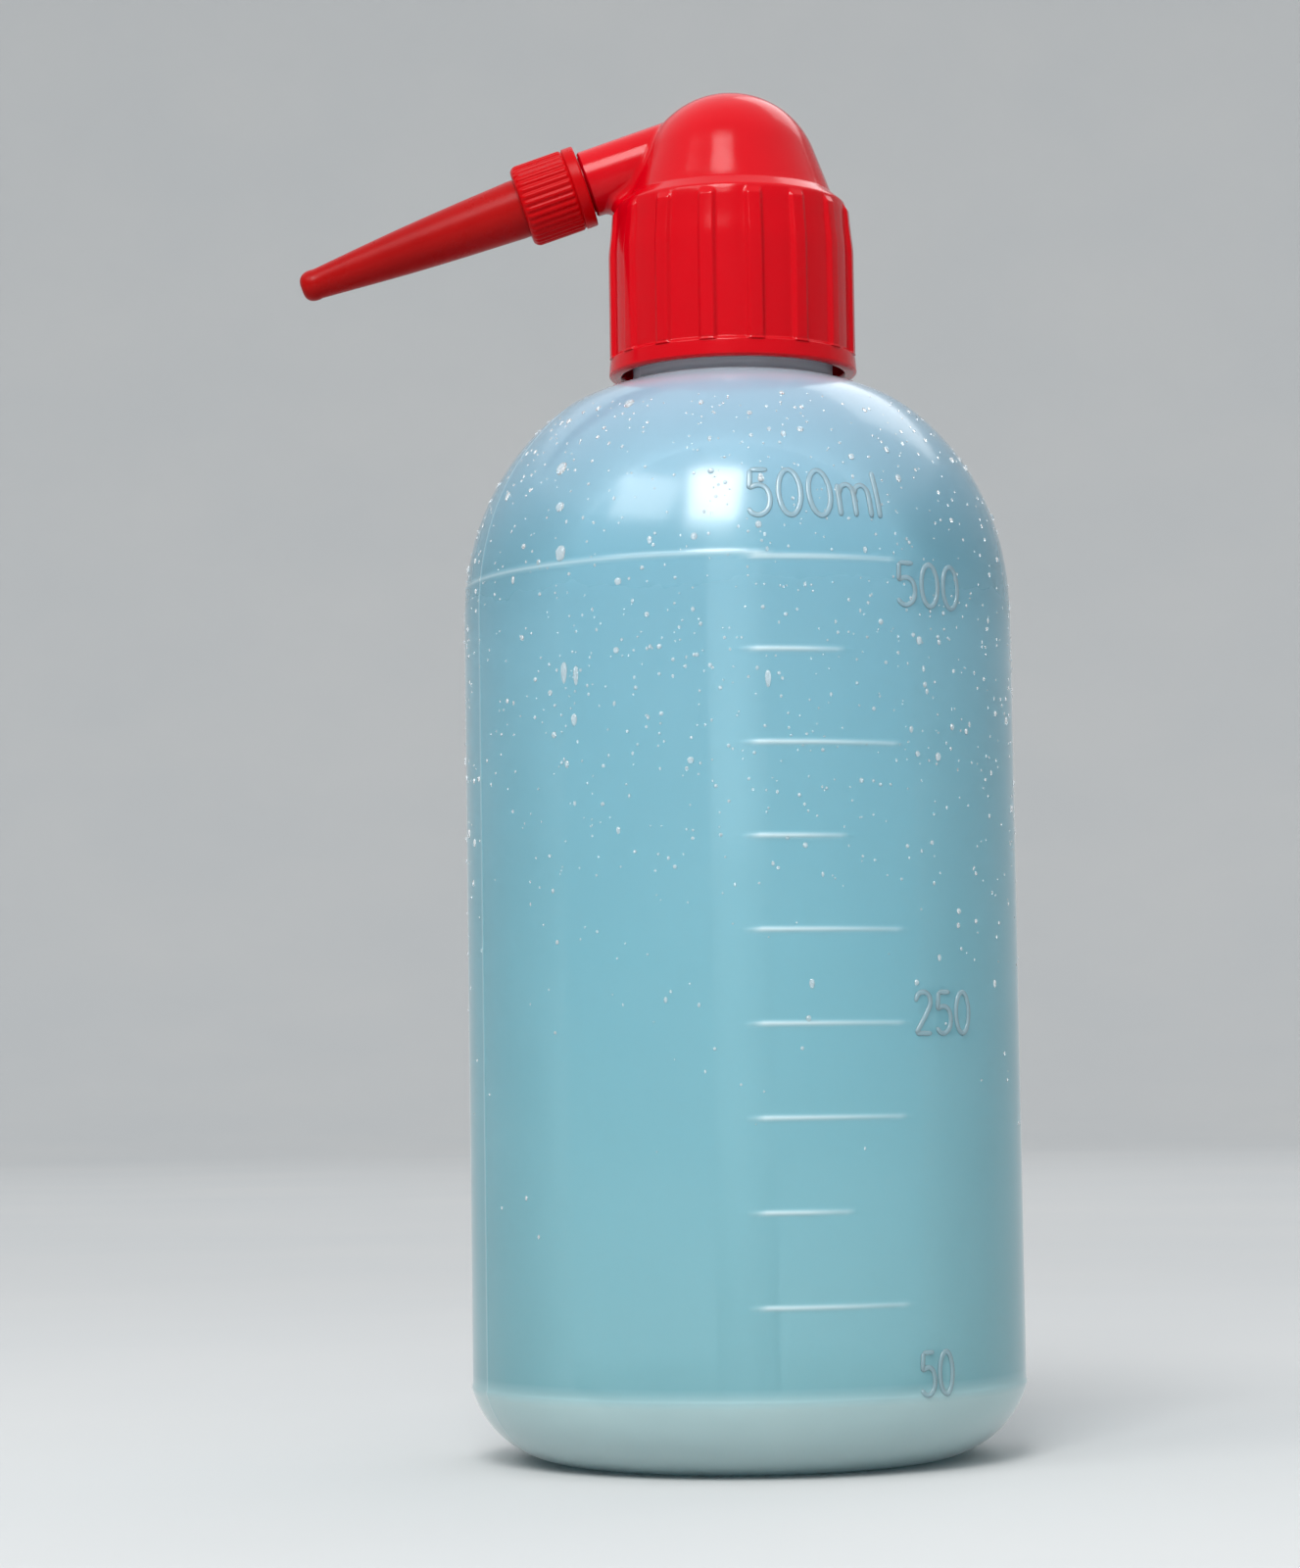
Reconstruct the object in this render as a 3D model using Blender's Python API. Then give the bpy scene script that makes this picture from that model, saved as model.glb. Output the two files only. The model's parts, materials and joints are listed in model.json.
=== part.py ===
"""Wash bottle of 500 ml, in metres.

Six pieces: a blow-moulded squeeze bottle with a threaded neck, a screw cap with a domed
elbow and a slanted spout, a flat sealing ring under the cap, a dip tube pushed into the
cap's socket, a tapered jet on the end of the spout and the knurled nut that holds it.

Frame: +Z runs up the bottle's axis, the origin is the centre of the flat base, and the
spout points towards -X. The spout, jet and nut are turned about their own axis, which
starts on the bottle's axis inside the dome and slopes down towards -X.
"""
import math

import bmesh
import bpy

MM = 0.001
GAP = 0.3 * MM
EDGE = 0.3 * MM
SMOOTH_LIMIT = math.radians(35)

# Bottle body
BODY_RADIUS = 37.45 * MM
BODY_WALL = 1.0 * MM
BODY_COLUMNS = 48
BASE_THICKNESS = 1.4 * MM
BASE_CURVE_RADIUS = 13.5 * MM
CREASE_RADIUS = 37.6 * MM
CREASE_HEIGHT = 10.1 * MM
CREASE_FADE = 0.6 * MM
SHOULDER_START = 113.2 * MM
SHOULDER_RISE = 36.7 * MM
SHOULDER_POWER = 2.16
SHOULDER_END_RADIUS = 25.0 * MM
SHOULDER_BEND_RADIUS = 21.0 * MM
SHOULDER_BEND_HEIGHT = 145.0 * MM

# Bottle neck and its thread
NECK_INNER_RADIUS = 12.0 * MM
NECK_RADIUS = 13.4 * MM
NECK_FOOT_RADIUS = 13.8 * MM
NECK_FOOT_BOTTOM = 146.6 * MM
NECK_FOOT_TOP = 150.5 * MM
NECK_TOP = 167.2 * MM
CAP_PITCH = 4.0 * MM
CAP_THREAD_TURNS = 1.5
CAP_THREAD_FOOT_WIDTH = 1.7 * MM
CAP_THREAD_CREST_WIDTH = 0.9 * MM
NECK_THREAD_START = 155.5 * MM
NECK_THREAD_CREST = 14.75 * MM

# Sealing ring between the neck's rim and the cap
RING_OUTER_RADIUS = 14.8 * MM
RING_INNER_RADIUS = 12.0 * MM
RING_BOTTOM = NECK_TOP + GAP
RING_TOP = RING_BOTTOM + 1.1 * MM
RING_COLUMNS = 48

# Screw cap: dome, skirt and inner socket
CAP_TOP = 187.3 * MM
DOME_RADIUS = 12.5 * MM
DOME_DRAFT = math.radians(22)
DOME_FOOT_RADIUS = 14.1 * MM
DOME_FOOT_HEIGHT = 172.8 * MM
DOME_WALL = 1.8 * MM
DOME_CAVITY_RADIUS = 12.1 * MM
SKIRT_TOP_RADIUS = 15.95 * MM
SKIRT_TOP = 171.3 * MM
SKIRT_RADIUS = 16.55 * MM
SKIRT_INNER_RADIUS = 15.2 * MM
RIM_RADIUS = 17.1 * MM
RIM_BOTTOM = 147.7 * MM
BAND_TOP = 150.0 * MM
BAND_RADIUS = 16.9 * MM
SHELF_HEIGHT = RING_TOP + GAP
CAP_THREAD_CREST = 13.8 * MM
RIB_COUNT = 16
RIB_HEIGHT = 0.55 * MM
RIB_TOP_HALF_ANGLE = math.radians(3.1)
RIB_FOOT_HALF_ANGLE = math.radians(3.9)
RIB_PHASE = math.radians(11.25)
SOCKET_RADIUS = 6.2 * MM
SOCKET_BOTTOM = 163.0 * MM
SOCKET_SIDE_TOP = 184.5 * MM
SOCKET_PEAK = CAP_TOP - 0.9 * MM

# Dip tube
TUBE_RADIUS = 4.3 * MM
TUBE_BORE_RADIUS = 3.2 * MM
TUBE_TOP = 174.0 * MM
TUBE_LONG_END = 4.0 * MM
TUBE_SHORT_END = 9.0 * MM
TUBE_COLUMNS = 24

# Spout, in distances along its own axis
SPOUT_START_HEIGHT = 181.7 * MM
SPOUT_SLOPE = math.radians(18.5)
SPOUT_RADIUS = 4.65 * MM
SPOUT_BORE_RADIUS = 2.4 * MM
SPOUT_CORE_RADIUS = 3.85 * MM
SPOUT_CORE_START = 20.6 * MM
SPOUT_END = 26.6 * MM
SPOUT_ROOT = 1.0 * MM
SPOUT_COLUMNS = 32
SPOUT_THREAD_CREST = 4.65 * MM
NUT_PITCH = 2.0 * MM
NUT_THREAD_TURNS = 1.5
NUT_THREAD_FOOT_WIDTH = 0.95 * MM
NUT_THREAD_CREST_WIDTH = 0.4 * MM
SPOUT_THREAD_START = 22.5 * MM

# Knurled nut, along the spout's axis
NUT_BACK = 21.2 * MM
NUT_FRONT = 30.5 * MM
NUT_RADIUS = 5.75 * MM
NUT_BORE_RADIUS = 5.0 * MM
NUT_THREAD_CREST = 4.2 * MM
NUT_HOLE_RADIUS = 4.4 * MM
NUT_LIP = 1.8 * MM
NUT_COLLAR = 1.6 * MM
NUT_CHAMFER = 0.6 * MM
KNURL_COUNT = 36
KNURL_DEPTH = 0.22 * MM

# Jet, along the spout's axis
JET_BACK = SPOUT_END + GAP
JET_FLANGE_RADIUS = 4.7 * MM
JET_FLANGE = 1.2 * MM
JET_ROOT_RADIUS = 4.1 * MM
JET_CONE_END = 60.8 * MM
JET_CONE_END_RADIUS = 2.1 * MM
JET_CONE_WALL = 1.0 * MM
JET_SOLID_TIP = 3.0 * MM
JET_TIP = 63.2 * MM
JET_TIP_RADIUS = 0.65 * MM
JET_ORIFICE_RADIUS = 0.35 * MM
JET_BORE_RADIUS = 2.9 * MM
JET_DROOP_START = NUT_FRONT
JET_DROOP = math.radians(1.0)
JET_COLUMNS = 32


def clear_scene():
    """Remove every object that the open file holds."""
    for item in list(bpy.data.objects):
        bpy.data.objects.remove(item, do_unlink=True)


def plastic(name, colour, roughness, metallic=0.0):
    """A Principled material with one colour."""
    material = bpy.data.materials.new(name)
    material.use_nodes = True
    shader = material.node_tree.nodes["Principled BSDF"]
    shader.inputs["Base Color"].default_value = (*colour, 1.0)
    shader.inputs["Roughness"].default_value = roughness
    shader.inputs["Metallic"].default_value = metallic
    return material


def even_angles(columns):
    """Angles of evenly spaced columns round an axis."""
    return [2 * math.pi * column / columns for column in range(columns)]


def join_rings(mesh, first, second):
    """Faces between two neighbouring rings, either of which may be one point on the axis."""
    count = max(len(first), len(second))
    for here in range(count):
        following = (here + 1) % count
        if len(first) == 1:
            corners = (first[0], second[here], second[following])
        elif len(second) == 1:
            corners = (first[here], second[0], first[following])
        else:
            corners = (first[here], second[here], second[following], first[following])
        mesh.faces.new(corners)


def revolve(name, outline, angles, closed, swell=None):
    """A closed body turned about its own +Z from (radius, height) points.

    A closed outline is a loop clear of the axis. An open one starts and ends on the axis.
    swell(point number, angle), if given, is added to the radius.
    """
    mesh = bmesh.new()
    rings = []
    for number, (radius, height) in enumerate(outline):
        if radius == 0:
            rings.append([mesh.verts.new((0, 0, height))])
            continue
        ring = []
        for angle in angles:
            reach = radius + (swell(number, angle) if swell else 0)
            ring.append(mesh.verts.new((reach * math.cos(angle), reach * math.sin(angle), height)))
        rings.append(ring)
    neighbours = rings[1:] + rings[:1] if closed else rings[1:]
    for first, second in zip(rings, neighbours):
        join_rings(mesh, first, second)
    return finish_mesh(name, mesh)


def finish_mesh(name, mesh):
    """Turn a bmesh into an object, with its faces outwards and its round sides smooth."""
    bmesh.ops.recalc_face_normals(mesh, faces=mesh.faces)
    data = bpy.data.meshes.new(name)
    mesh.to_mesh(data)
    mesh.free()
    data.shade_smooth()
    data.set_sharp_from_angle(angle=SMOOTH_LIMIT)
    item = bpy.data.objects.new(name, data)
    bpy.context.scene.collection.objects.link(item)
    return item


def thread_ridge(name, root, crest, start, pitch, turns, columns, root_width, crest_width):
    """A helical ridge with a trapezoid section, from root radius to crest radius.

    The ridge runs out at both ends: over the last part of a turn its crest sinks to its root.
    """
    steps = round(turns * columns)
    run_out = columns // 8
    mesh = bmesh.new()
    sections = []
    for step in range(steps + 1):
        angle = 2 * math.pi * step / columns
        height = start + pitch * step / columns
        growth = min(1.0, (min(step, steps - step) + 0.4) / run_out)
        tip = root + (crest - root) * growth
        corners = [
            (root, -root_width / 2),
            (tip, -crest_width / 2),
            (tip, crest_width / 2),
            (root, root_width / 2),
        ]
        section = []
        for radius, rise in corners:
            place = (radius * math.cos(angle), radius * math.sin(angle), height + rise)
            section.append(mesh.verts.new(place))
        sections.append(section)
    for first, second in zip(sections, sections[1:]):
        join_rings(mesh, first, second)
    mesh.faces.new(sections[0])
    mesh.faces.new(sections[-1])
    return finish_mesh(name, mesh)


def combine(item, tool, operation):
    """Boolean item with tool, which is then only a guide."""
    tool.hide_render = True
    tool.display_type = "WIRE"
    change = item.modifiers.new(tool.name, "BOOLEAN")
    change.operation = operation
    change.solver = "EXACT"
    change.object = tool


def axis_empty(name, height, tilt):
    """An empty on the bottle's axis whose own +Z is a joint's axis."""
    empty = bpy.data.objects.new(name, None)
    empty.location = (0, 0, height)
    empty.rotation_euler = (0, tilt, 0)
    bpy.context.scene.collection.objects.link(empty)
    return empty


def shoulder_points(inset, neck_radius, count, bend_count):
    """Points from the straight wall over the rounded shoulder to the neck's foot.

    The shoulder is a quarter of a superellipse, which bends out into a shallow slope
    near the neck. inset is how far the line lies inside the outer surface.
    """
    power = 2 / SHOULDER_POWER
    radius = BODY_RADIUS - inset
    end_share = (SHOULDER_END_RADIUS - 0.6 * inset) / radius
    last = math.acos(end_share ** (1 / power))
    points = []
    for step in range(count + 1):
        angle = last * step / count
        reach = radius * math.cos(angle) ** power
        height = SHOULDER_START + (SHOULDER_RISE - inset) * math.sin(angle) ** power
        points.append((reach, height))
    start = points[-1]
    bend = (SHOULDER_BEND_RADIUS - 0.4 * inset, SHOULDER_BEND_HEIGHT - inset)
    end = (neck_radius, NECK_FOOT_BOTTOM - inset)
    for step in range(1, bend_count + 1):
        share = step / bend_count
        weights = ((1 - share) ** 2, 2 * share * (1 - share), share**2)
        corners = (start, bend, end)
        reach = sum(weight * corner[0] for weight, corner in zip(weights, corners))
        height = sum(weight * corner[1] for weight, corner in zip(weights, corners))
        points.append((reach, height))
    return points


def base_curve_points(radius, centre_radius, edge_radius, count):
    """Points of the base's rounded edge, from the flat base up to the wall."""
    last = -math.acos((edge_radius - centre_radius) / radius)
    points = []
    for step in range(count + 1):
        angle = -math.pi / 2 + (last + math.pi / 2) * step / count
        reach = centre_radius + radius * math.cos(angle)
        points.append((reach, BASE_CURVE_RADIUS + radius * math.sin(angle)))
    return points


def make_bottle():
    """The squeeze bottle, its wall open at the neck, with an outside thread."""
    rise = BASE_CURVE_RADIUS - CREASE_HEIGHT
    centre_radius = CREASE_RADIUS - math.sqrt(BASE_CURVE_RADIUS**2 - rise**2)
    inner_radius = BODY_RADIUS - BODY_WALL
    inner_curve = BASE_CURVE_RADIUS - BASE_THICKNESS
    outside = base_curve_points(BASE_CURVE_RADIUS, centre_radius, CREASE_RADIUS, 6)
    outside.append((BODY_RADIUS, CREASE_HEIGHT + CREASE_FADE))
    outside += shoulder_points(0, NECK_FOOT_RADIUS, 7, 3)
    outside.append((NECK_FOOT_RADIUS, NECK_FOOT_TOP))
    outside.append((NECK_RADIUS, NECK_FOOT_TOP + EDGE))
    outside.append((NECK_RADIUS, NECK_TOP - EDGE))
    outside.append((NECK_RADIUS - EDGE, NECK_TOP))
    outside.append((NECK_INNER_RADIUS, NECK_TOP))
    inside = base_curve_points(inner_curve, centre_radius, inner_radius, 5)
    inside += shoulder_points(BODY_WALL, NECK_INNER_RADIUS, 7, 3)
    outline = [(0, 0)] + outside + inside[::-1] + [(0, BASE_THICKNESS)]
    bottle = revolve("bottle", outline, even_angles(BODY_COLUMNS), closed=False)
    ridge = thread_ridge(
        "neck_thread_guide",
        NECK_RADIUS - GAP,
        NECK_THREAD_CREST,
        NECK_THREAD_START,
        CAP_PITCH,
        CAP_THREAD_TURNS,
        BODY_COLUMNS,
        root_width=CAP_THREAD_FOOT_WIDTH,
        crest_width=CAP_THREAD_CREST_WIDTH,
    )
    combine(bottle, ridge, "UNION")
    bottle.data.materials.append(plastic("milky_polyethylene", (0.62, 0.74, 0.82), 0.35))
    return bottle


def make_sealing_ring():
    """The flat washer that the cap presses on the neck's rim."""
    outline = [
        (RING_INNER_RADIUS, RING_BOTTOM),
        (RING_OUTER_RADIUS, RING_BOTTOM),
        (RING_OUTER_RADIUS, RING_TOP),
        (RING_INNER_RADIUS, RING_TOP),
    ]
    ring = revolve("sealing_ring", outline, even_angles(RING_COLUMNS), closed=True)
    ring.data.materials.append(plastic("white_foam_polyethylene", (0.8, 0.8, 0.78), 0.7))
    return ring


def make_dip_tube():
    """The straight tube from the cap's socket to just above the base, its lower end cut aslant."""
    outline = [
        (TUBE_BORE_RADIUS, 0),
        (TUBE_RADIUS, 0),
        (TUBE_RADIUS, TUBE_TOP),
        (TUBE_BORE_RADIUS, TUBE_TOP),
    ]
    tube = revolve("dip_tube", outline, even_angles(TUBE_COLUMNS), closed=True)
    slant = (TUBE_SHORT_END - TUBE_LONG_END) / (2 * TUBE_RADIUS)
    middle = (TUBE_SHORT_END + TUBE_LONG_END) / 2
    for vertex in tube.data.vertices:
        if vertex.co.z < TUBE_LONG_END:
            vertex.co.z = middle + slant * vertex.co.x
    tube.data.materials.append(plastic("clear_polyethylene", (0.75, 0.82, 0.86), 0.4))
    return tube


def rib_angles():
    """Columns round the cap: four at each rib's edges and two between ribs."""
    pitch = 2 * math.pi / RIB_COUNT
    angles = []
    for rib in range(RIB_COUNT):
        middle = RIB_PHASE + rib * pitch
        for offset in (-RIB_FOOT_HALF_ANGLE, -RIB_TOP_HALF_ANGLE, RIB_TOP_HALF_ANGLE, RIB_FOOT_HALF_ANGLE):
            angles.append(middle + offset)
        angles.append(middle + pitch * 0.39)
        angles.append(middle + pitch * 0.61)
    return angles


def on_rib(angle):
    """Whether a column lies on the top of a rib."""
    pitch = 2 * math.pi / RIB_COUNT
    offset = (angle - RIB_PHASE + pitch / 2) % pitch - pitch / 2
    return abs(offset) < (RIB_TOP_HALF_ANGLE + RIB_FOOT_HALF_ANGLE) / 2


def dome_points(radius, foot, top, foot_height, count):
    """A round-topped cone from the axis down to its foot: sphere above, straight draft below."""
    centre = top - radius
    last = math.pi / 2 - DOME_DRAFT
    points = [(0, top)]
    for step in range(1, count + 1):
        angle = last * step / count
        points.append((radius * math.sin(angle), centre + radius * math.cos(angle)))
    points.append((foot, foot_height))
    return points


def make_cap_shell():
    """The dome and the ribbed skirt, open below."""
    skirt = [
        (SKIRT_TOP_RADIUS, SKIRT_TOP, 0.0),
        (SKIRT_TOP_RADIUS + 0.1 * MM, SKIRT_TOP - 0.7 * MM, 0.0),
        (SKIRT_TOP_RADIUS + 0.17 * MM, SKIRT_TOP - 1.3 * MM, 0.7),
        (SKIRT_TOP_RADIUS + 0.3 * MM, SKIRT_TOP - 3.8 * MM, 0.9),
        (SKIRT_RADIUS, SKIRT_TOP - 6.8 * MM, 1.0),
        (SKIRT_RADIUS, BAND_TOP + 0.4 * MM, 1.0),
        (BAND_RADIUS, BAND_TOP, 0.1),
        (RIM_RADIUS, RIM_BOTTOM + EDGE, 0.0),
        (RIM_RADIUS - EDGE, RIM_BOTTOM, 0.0),
        (SKIRT_INNER_RADIUS + EDGE, RIM_BOTTOM, 0.0),
        (SKIRT_INNER_RADIUS, RIM_BOTTOM + 2 * EDGE, 0.0),
        (SKIRT_INNER_RADIUS, SHELF_HEIGHT, 0.0),
        (DOME_CAVITY_RADIUS, SHELF_HEIGHT, 0.0),
    ]
    outer = dome_points(DOME_RADIUS, DOME_FOOT_RADIUS, CAP_TOP, DOME_FOOT_HEIGHT, 6)
    inner = dome_points(
        DOME_RADIUS - DOME_WALL,
        DOME_CAVITY_RADIUS,
        CAP_TOP - DOME_WALL,
        DOME_FOOT_HEIGHT,
        5,
    )
    outline = outer + [(radius, height) for radius, height, _ in skirt] + inner[::-1]
    ribs = {len(outer) + number: share for number, (_, _, share) in enumerate(skirt)}

    def swell(number, angle):
        return RIB_HEIGHT * ribs.get(number, 0.0) if on_rib(angle) else 0.0

    return revolve("screw_cap", outline, rib_angles(), closed=False, swell=swell)


def spout_solid(name, outline, spout_axis):
    """A turned guide solid along the spout's axis."""
    solid = revolve(name, outline, even_angles(SPOUT_COLUMNS), closed=False)
    solid.parent = spout_axis
    return solid


def make_screw_cap(spout_axis):
    """The cap with its dome, socket and spout in one moulding, bored through."""
    cap = make_cap_shell()
    socket = [
        (0, SOCKET_BOTTOM),
        (SOCKET_RADIUS, SOCKET_BOTTOM),
        (SOCKET_RADIUS, SOCKET_SIDE_TOP),
        (0, SOCKET_PEAK),
    ]
    combine(cap, revolve("socket_guide", socket, even_angles(SPOUT_COLUMNS), closed=False), "UNION")
    spout = [
        (0, SPOUT_ROOT),
        (SPOUT_RADIUS, SPOUT_ROOT),
        (SPOUT_RADIUS, SPOUT_CORE_START),
        (SPOUT_CORE_RADIUS, SPOUT_CORE_START + EDGE),
        (SPOUT_CORE_RADIUS, SPOUT_END),
        (0, SPOUT_END),
    ]
    combine(cap, spout_solid("spout_guide", spout, spout_axis), "UNION")
    spout_thread = thread_ridge(
        "spout_thread_guide",
        SPOUT_CORE_RADIUS - GAP,
        SPOUT_THREAD_CREST,
        SPOUT_THREAD_START,
        NUT_PITCH,
        NUT_THREAD_TURNS,
        SPOUT_COLUMNS,
        root_width=NUT_THREAD_FOOT_WIDTH,
        crest_width=NUT_THREAD_CREST_WIDTH,
    )
    spout_thread.parent = spout_axis
    combine(cap, spout_thread, "UNION")
    cap_thread = thread_ridge(
        "cap_thread_guide",
        SKIRT_INNER_RADIUS + GAP,
        CAP_THREAD_CREST,
        NECK_THREAD_START - CAP_PITCH / 2,
        CAP_PITCH,
        CAP_THREAD_TURNS,
        BODY_COLUMNS,
        root_width=CAP_THREAD_FOOT_WIDTH,
        crest_width=CAP_THREAD_CREST_WIDTH,
    )
    combine(cap, cap_thread, "UNION")
    tube_seat = TUBE_TOP + GAP
    bore_bottom = SOCKET_BOTTOM - MM
    bore = [
        (0, bore_bottom),
        (TUBE_RADIUS + GAP, bore_bottom),
        (TUBE_RADIUS + GAP, tube_seat),
        (TUBE_BORE_RADIUS, tube_seat),
        (TUBE_BORE_RADIUS, SPOUT_START_HEIGHT + SPOUT_BORE_RADIUS),
        (0, SPOUT_START_HEIGHT + SPOUT_BORE_RADIUS),
    ]
    combine(cap, revolve("socket_bore_guide", bore, even_angles(TUBE_COLUMNS), closed=False), "DIFFERENCE")
    spout_bore = [(0, 0), (SPOUT_BORE_RADIUS, 0), (SPOUT_BORE_RADIUS, SPOUT_END + MM), (0, SPOUT_END + MM)]
    combine(cap, spout_solid("spout_bore_guide", spout_bore, spout_axis), "DIFFERENCE")
    cap.data.materials.append(plastic("glossy_red_plastic", (0.72, 0.01, 0.012), 0.25))
    return cap


def make_jet(spout_axis):
    """The tapered jet: a flange, a shank, a long cone and a short pointed tip with a fine hole."""
    outline = [
        (JET_BORE_RADIUS, JET_BACK),
        (JET_FLANGE_RADIUS, JET_BACK),
        (JET_FLANGE_RADIUS, JET_BACK + JET_FLANGE),
        (JET_ROOT_RADIUS, JET_BACK + JET_FLANGE),
        (JET_ROOT_RADIUS, NUT_FRONT + MM),
        (JET_CONE_END_RADIUS, JET_CONE_END),
        (JET_TIP_RADIUS, JET_TIP),
        (JET_ORIFICE_RADIUS, JET_TIP),
        (JET_ORIFICE_RADIUS, JET_CONE_END),
        (JET_CONE_END_RADIUS - JET_CONE_WALL, JET_CONE_END - JET_SOLID_TIP),
        (JET_BORE_RADIUS, NUT_FRONT + MM),
    ]
    jet = revolve("jet", outline, even_angles(JET_COLUMNS), closed=True)
    for vertex in jet.data.vertices:
        if vertex.co.z > JET_DROOP_START:
            vertex.co.x -= (vertex.co.z - JET_DROOP_START) * math.tan(JET_DROOP)
    jet.parent = spout_axis
    jet.data.materials.append(plastic("matt_red_plastic", (0.42, 0.022, 0.02), 0.5))
    return jet


def make_jet_nut(spout_axis):
    """The knurled nut: plain collar at the back, knurl, bevelled front, inside thread and lip."""
    lip_back = NUT_FRONT - NUT_LIP
    outline = [
        (NUT_BORE_RADIUS, NUT_BACK),
        (NUT_RADIUS - EDGE, NUT_BACK),
        (NUT_RADIUS, NUT_BACK + EDGE),
        (NUT_RADIUS, NUT_BACK + NUT_COLLAR),
        (NUT_RADIUS, NUT_BACK + NUT_COLLAR + EDGE),
        (NUT_RADIUS, NUT_FRONT - NUT_CHAMFER),
        (NUT_RADIUS - NUT_CHAMFER, NUT_FRONT),
        (NUT_HOLE_RADIUS, NUT_FRONT),
        (NUT_HOLE_RADIUS, lip_back),
        (NUT_BORE_RADIUS, lip_back),
    ]

    def swell(number, angle):
        column = round(angle * KNURL_COUNT / math.pi)
        return -KNURL_DEPTH if number in (4, 5) and column % 2 else 0.0

    nut = revolve("jet_nut", outline, even_angles(2 * KNURL_COUNT), closed=True, swell=swell)
    ridge = thread_ridge(
        "nut_thread_guide",
        NUT_BORE_RADIUS + GAP,
        NUT_THREAD_CREST,
        SPOUT_THREAD_START + NUT_PITCH / 2,
        NUT_PITCH,
        NUT_THREAD_TURNS,
        SPOUT_COLUMNS,
        root_width=NUT_THREAD_FOOT_WIDTH,
        crest_width=NUT_THREAD_CREST_WIDTH,
    )
    combine(nut, ridge, "UNION")
    nut.parent = spout_axis
    ridge.parent = spout_axis
    nut.data.materials.append(plastic("matt_red_plastic_nut", (0.42, 0.022, 0.02), 0.5))
    return nut


def main():
    clear_scene()
    spout_axis = axis_empty("spout_axis", SPOUT_START_HEIGHT, -(math.pi / 2 + SPOUT_SLOPE))
    make_bottle()
    make_sealing_ring()
    make_dip_tube()
    make_screw_cap(spout_axis)
    make_jet(spout_axis)
    make_jet_nut(spout_axis)


main()
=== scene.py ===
"""Looks of the wash bottle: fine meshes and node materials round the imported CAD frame.

Azimuths are in degrees round the bottle's axis, 0 at the front (-Y) and growing towards +X.
Heights are along +Z from the flat base. Spout distances run along the spout's own axis.
"""
import json
import math
import random

import bpy
import numpy as np
from mathutils import Matrix, Vector


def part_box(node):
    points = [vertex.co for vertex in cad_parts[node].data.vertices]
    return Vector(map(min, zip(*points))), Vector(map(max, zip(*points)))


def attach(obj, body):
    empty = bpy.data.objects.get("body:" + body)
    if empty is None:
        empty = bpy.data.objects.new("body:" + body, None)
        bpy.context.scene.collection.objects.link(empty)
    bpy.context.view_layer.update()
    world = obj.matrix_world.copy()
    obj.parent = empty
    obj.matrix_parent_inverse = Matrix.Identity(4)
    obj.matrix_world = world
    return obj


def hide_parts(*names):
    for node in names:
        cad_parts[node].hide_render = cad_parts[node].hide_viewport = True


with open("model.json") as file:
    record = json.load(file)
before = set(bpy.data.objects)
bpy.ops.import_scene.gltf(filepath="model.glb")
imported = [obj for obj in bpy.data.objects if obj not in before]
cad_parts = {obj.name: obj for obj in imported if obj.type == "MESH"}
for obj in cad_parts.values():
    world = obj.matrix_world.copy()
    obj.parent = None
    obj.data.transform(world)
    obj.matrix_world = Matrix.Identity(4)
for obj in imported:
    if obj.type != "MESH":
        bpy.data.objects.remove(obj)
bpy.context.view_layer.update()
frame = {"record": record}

MM = 0.001
TAU = 2 * math.pi

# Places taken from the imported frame
BOTTLE_LOW, BOTTLE_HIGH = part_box("bottle")
RING_LOW, RING_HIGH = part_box("sealing_ring")
TUBE_LOW, TUBE_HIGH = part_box("dip_tube")
CAP_LOW, CAP_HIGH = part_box("screw_cap")
JOINTS = {joint["name"]: joint for joint in frame["record"]["behaviour"]["joints"]}
NUT_JOINT = JOINTS["nut_turn"]
SPOUT_START = Vector(NUT_JOINT["pos_m"])
SPOUT_AXIS = Vector(NUT_JOINT["axis"]).normalized()

# Bottle, as in the CAD
BODY_RADIUS = 37.45 * MM
BODY_WALL = 1.0 * MM
BASE_THICKNESS = 1.4 * MM
BASE_CURVE_RADIUS = 13.5 * MM
CREASE_RADIUS = (BOTTLE_HIGH[0] - BOTTLE_LOW[0]) / 2
CREASE_HEIGHT = 10.1 * MM
SHOULDER_START = 113.2 * MM
SHOULDER_RISE = 36.7 * MM
SHOULDER_POWER = 2.16
SHOULDER_END_RADIUS = 25.0 * MM
SHOULDER_BEND_RADIUS = 21.0 * MM
SHOULDER_BEND_HEIGHT = 145.0 * MM
NECK_INNER_RADIUS = 12.0 * MM
NECK_RADIUS = 13.4 * MM
NECK_FOOT_RADIUS = 13.8 * MM
NECK_FOOT_BOTTOM = 146.6 * MM
NECK_FOOT_TOP = 150.5 * MM
NECK_TOP = BOTTLE_HIGH[2]
NECK_THREAD_START = 155.5 * MM
NECK_THREAD_CREST = 14.75 * MM
THREAD_TURNS = 1.5
CAP_PITCH = 4.0 * MM
NUT_PITCH = 2.0 * MM
# Pitch and widths at the foot and the crest of the ridge
CAP_THREAD = (CAP_PITCH, 1.8 * MM, 0.7 * MM)
NUT_THREAD = (NUT_PITCH, 1.0 * MM, 0.35 * MM)

# Volume scale moulded on the wall
MARK_START = 10.05 * MM
MARK_STEP = 11.969 * MM
MARK_COUNT = 10
SHORT_MARKS = (2, 6, 8)
MARK_LEFT = 2.8
SHORT_MARK_RIGHT = 20.5
LONG_MARK_RIGHT = 33.0
MARK_HEIGHT = 0.22 * MM
MARK_HALF_WIDTH = 0.3 * MM
CREASE_STAND = 0.14 * MM
CREASE_HALF_WIDTH = 0.28 * MM

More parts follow.
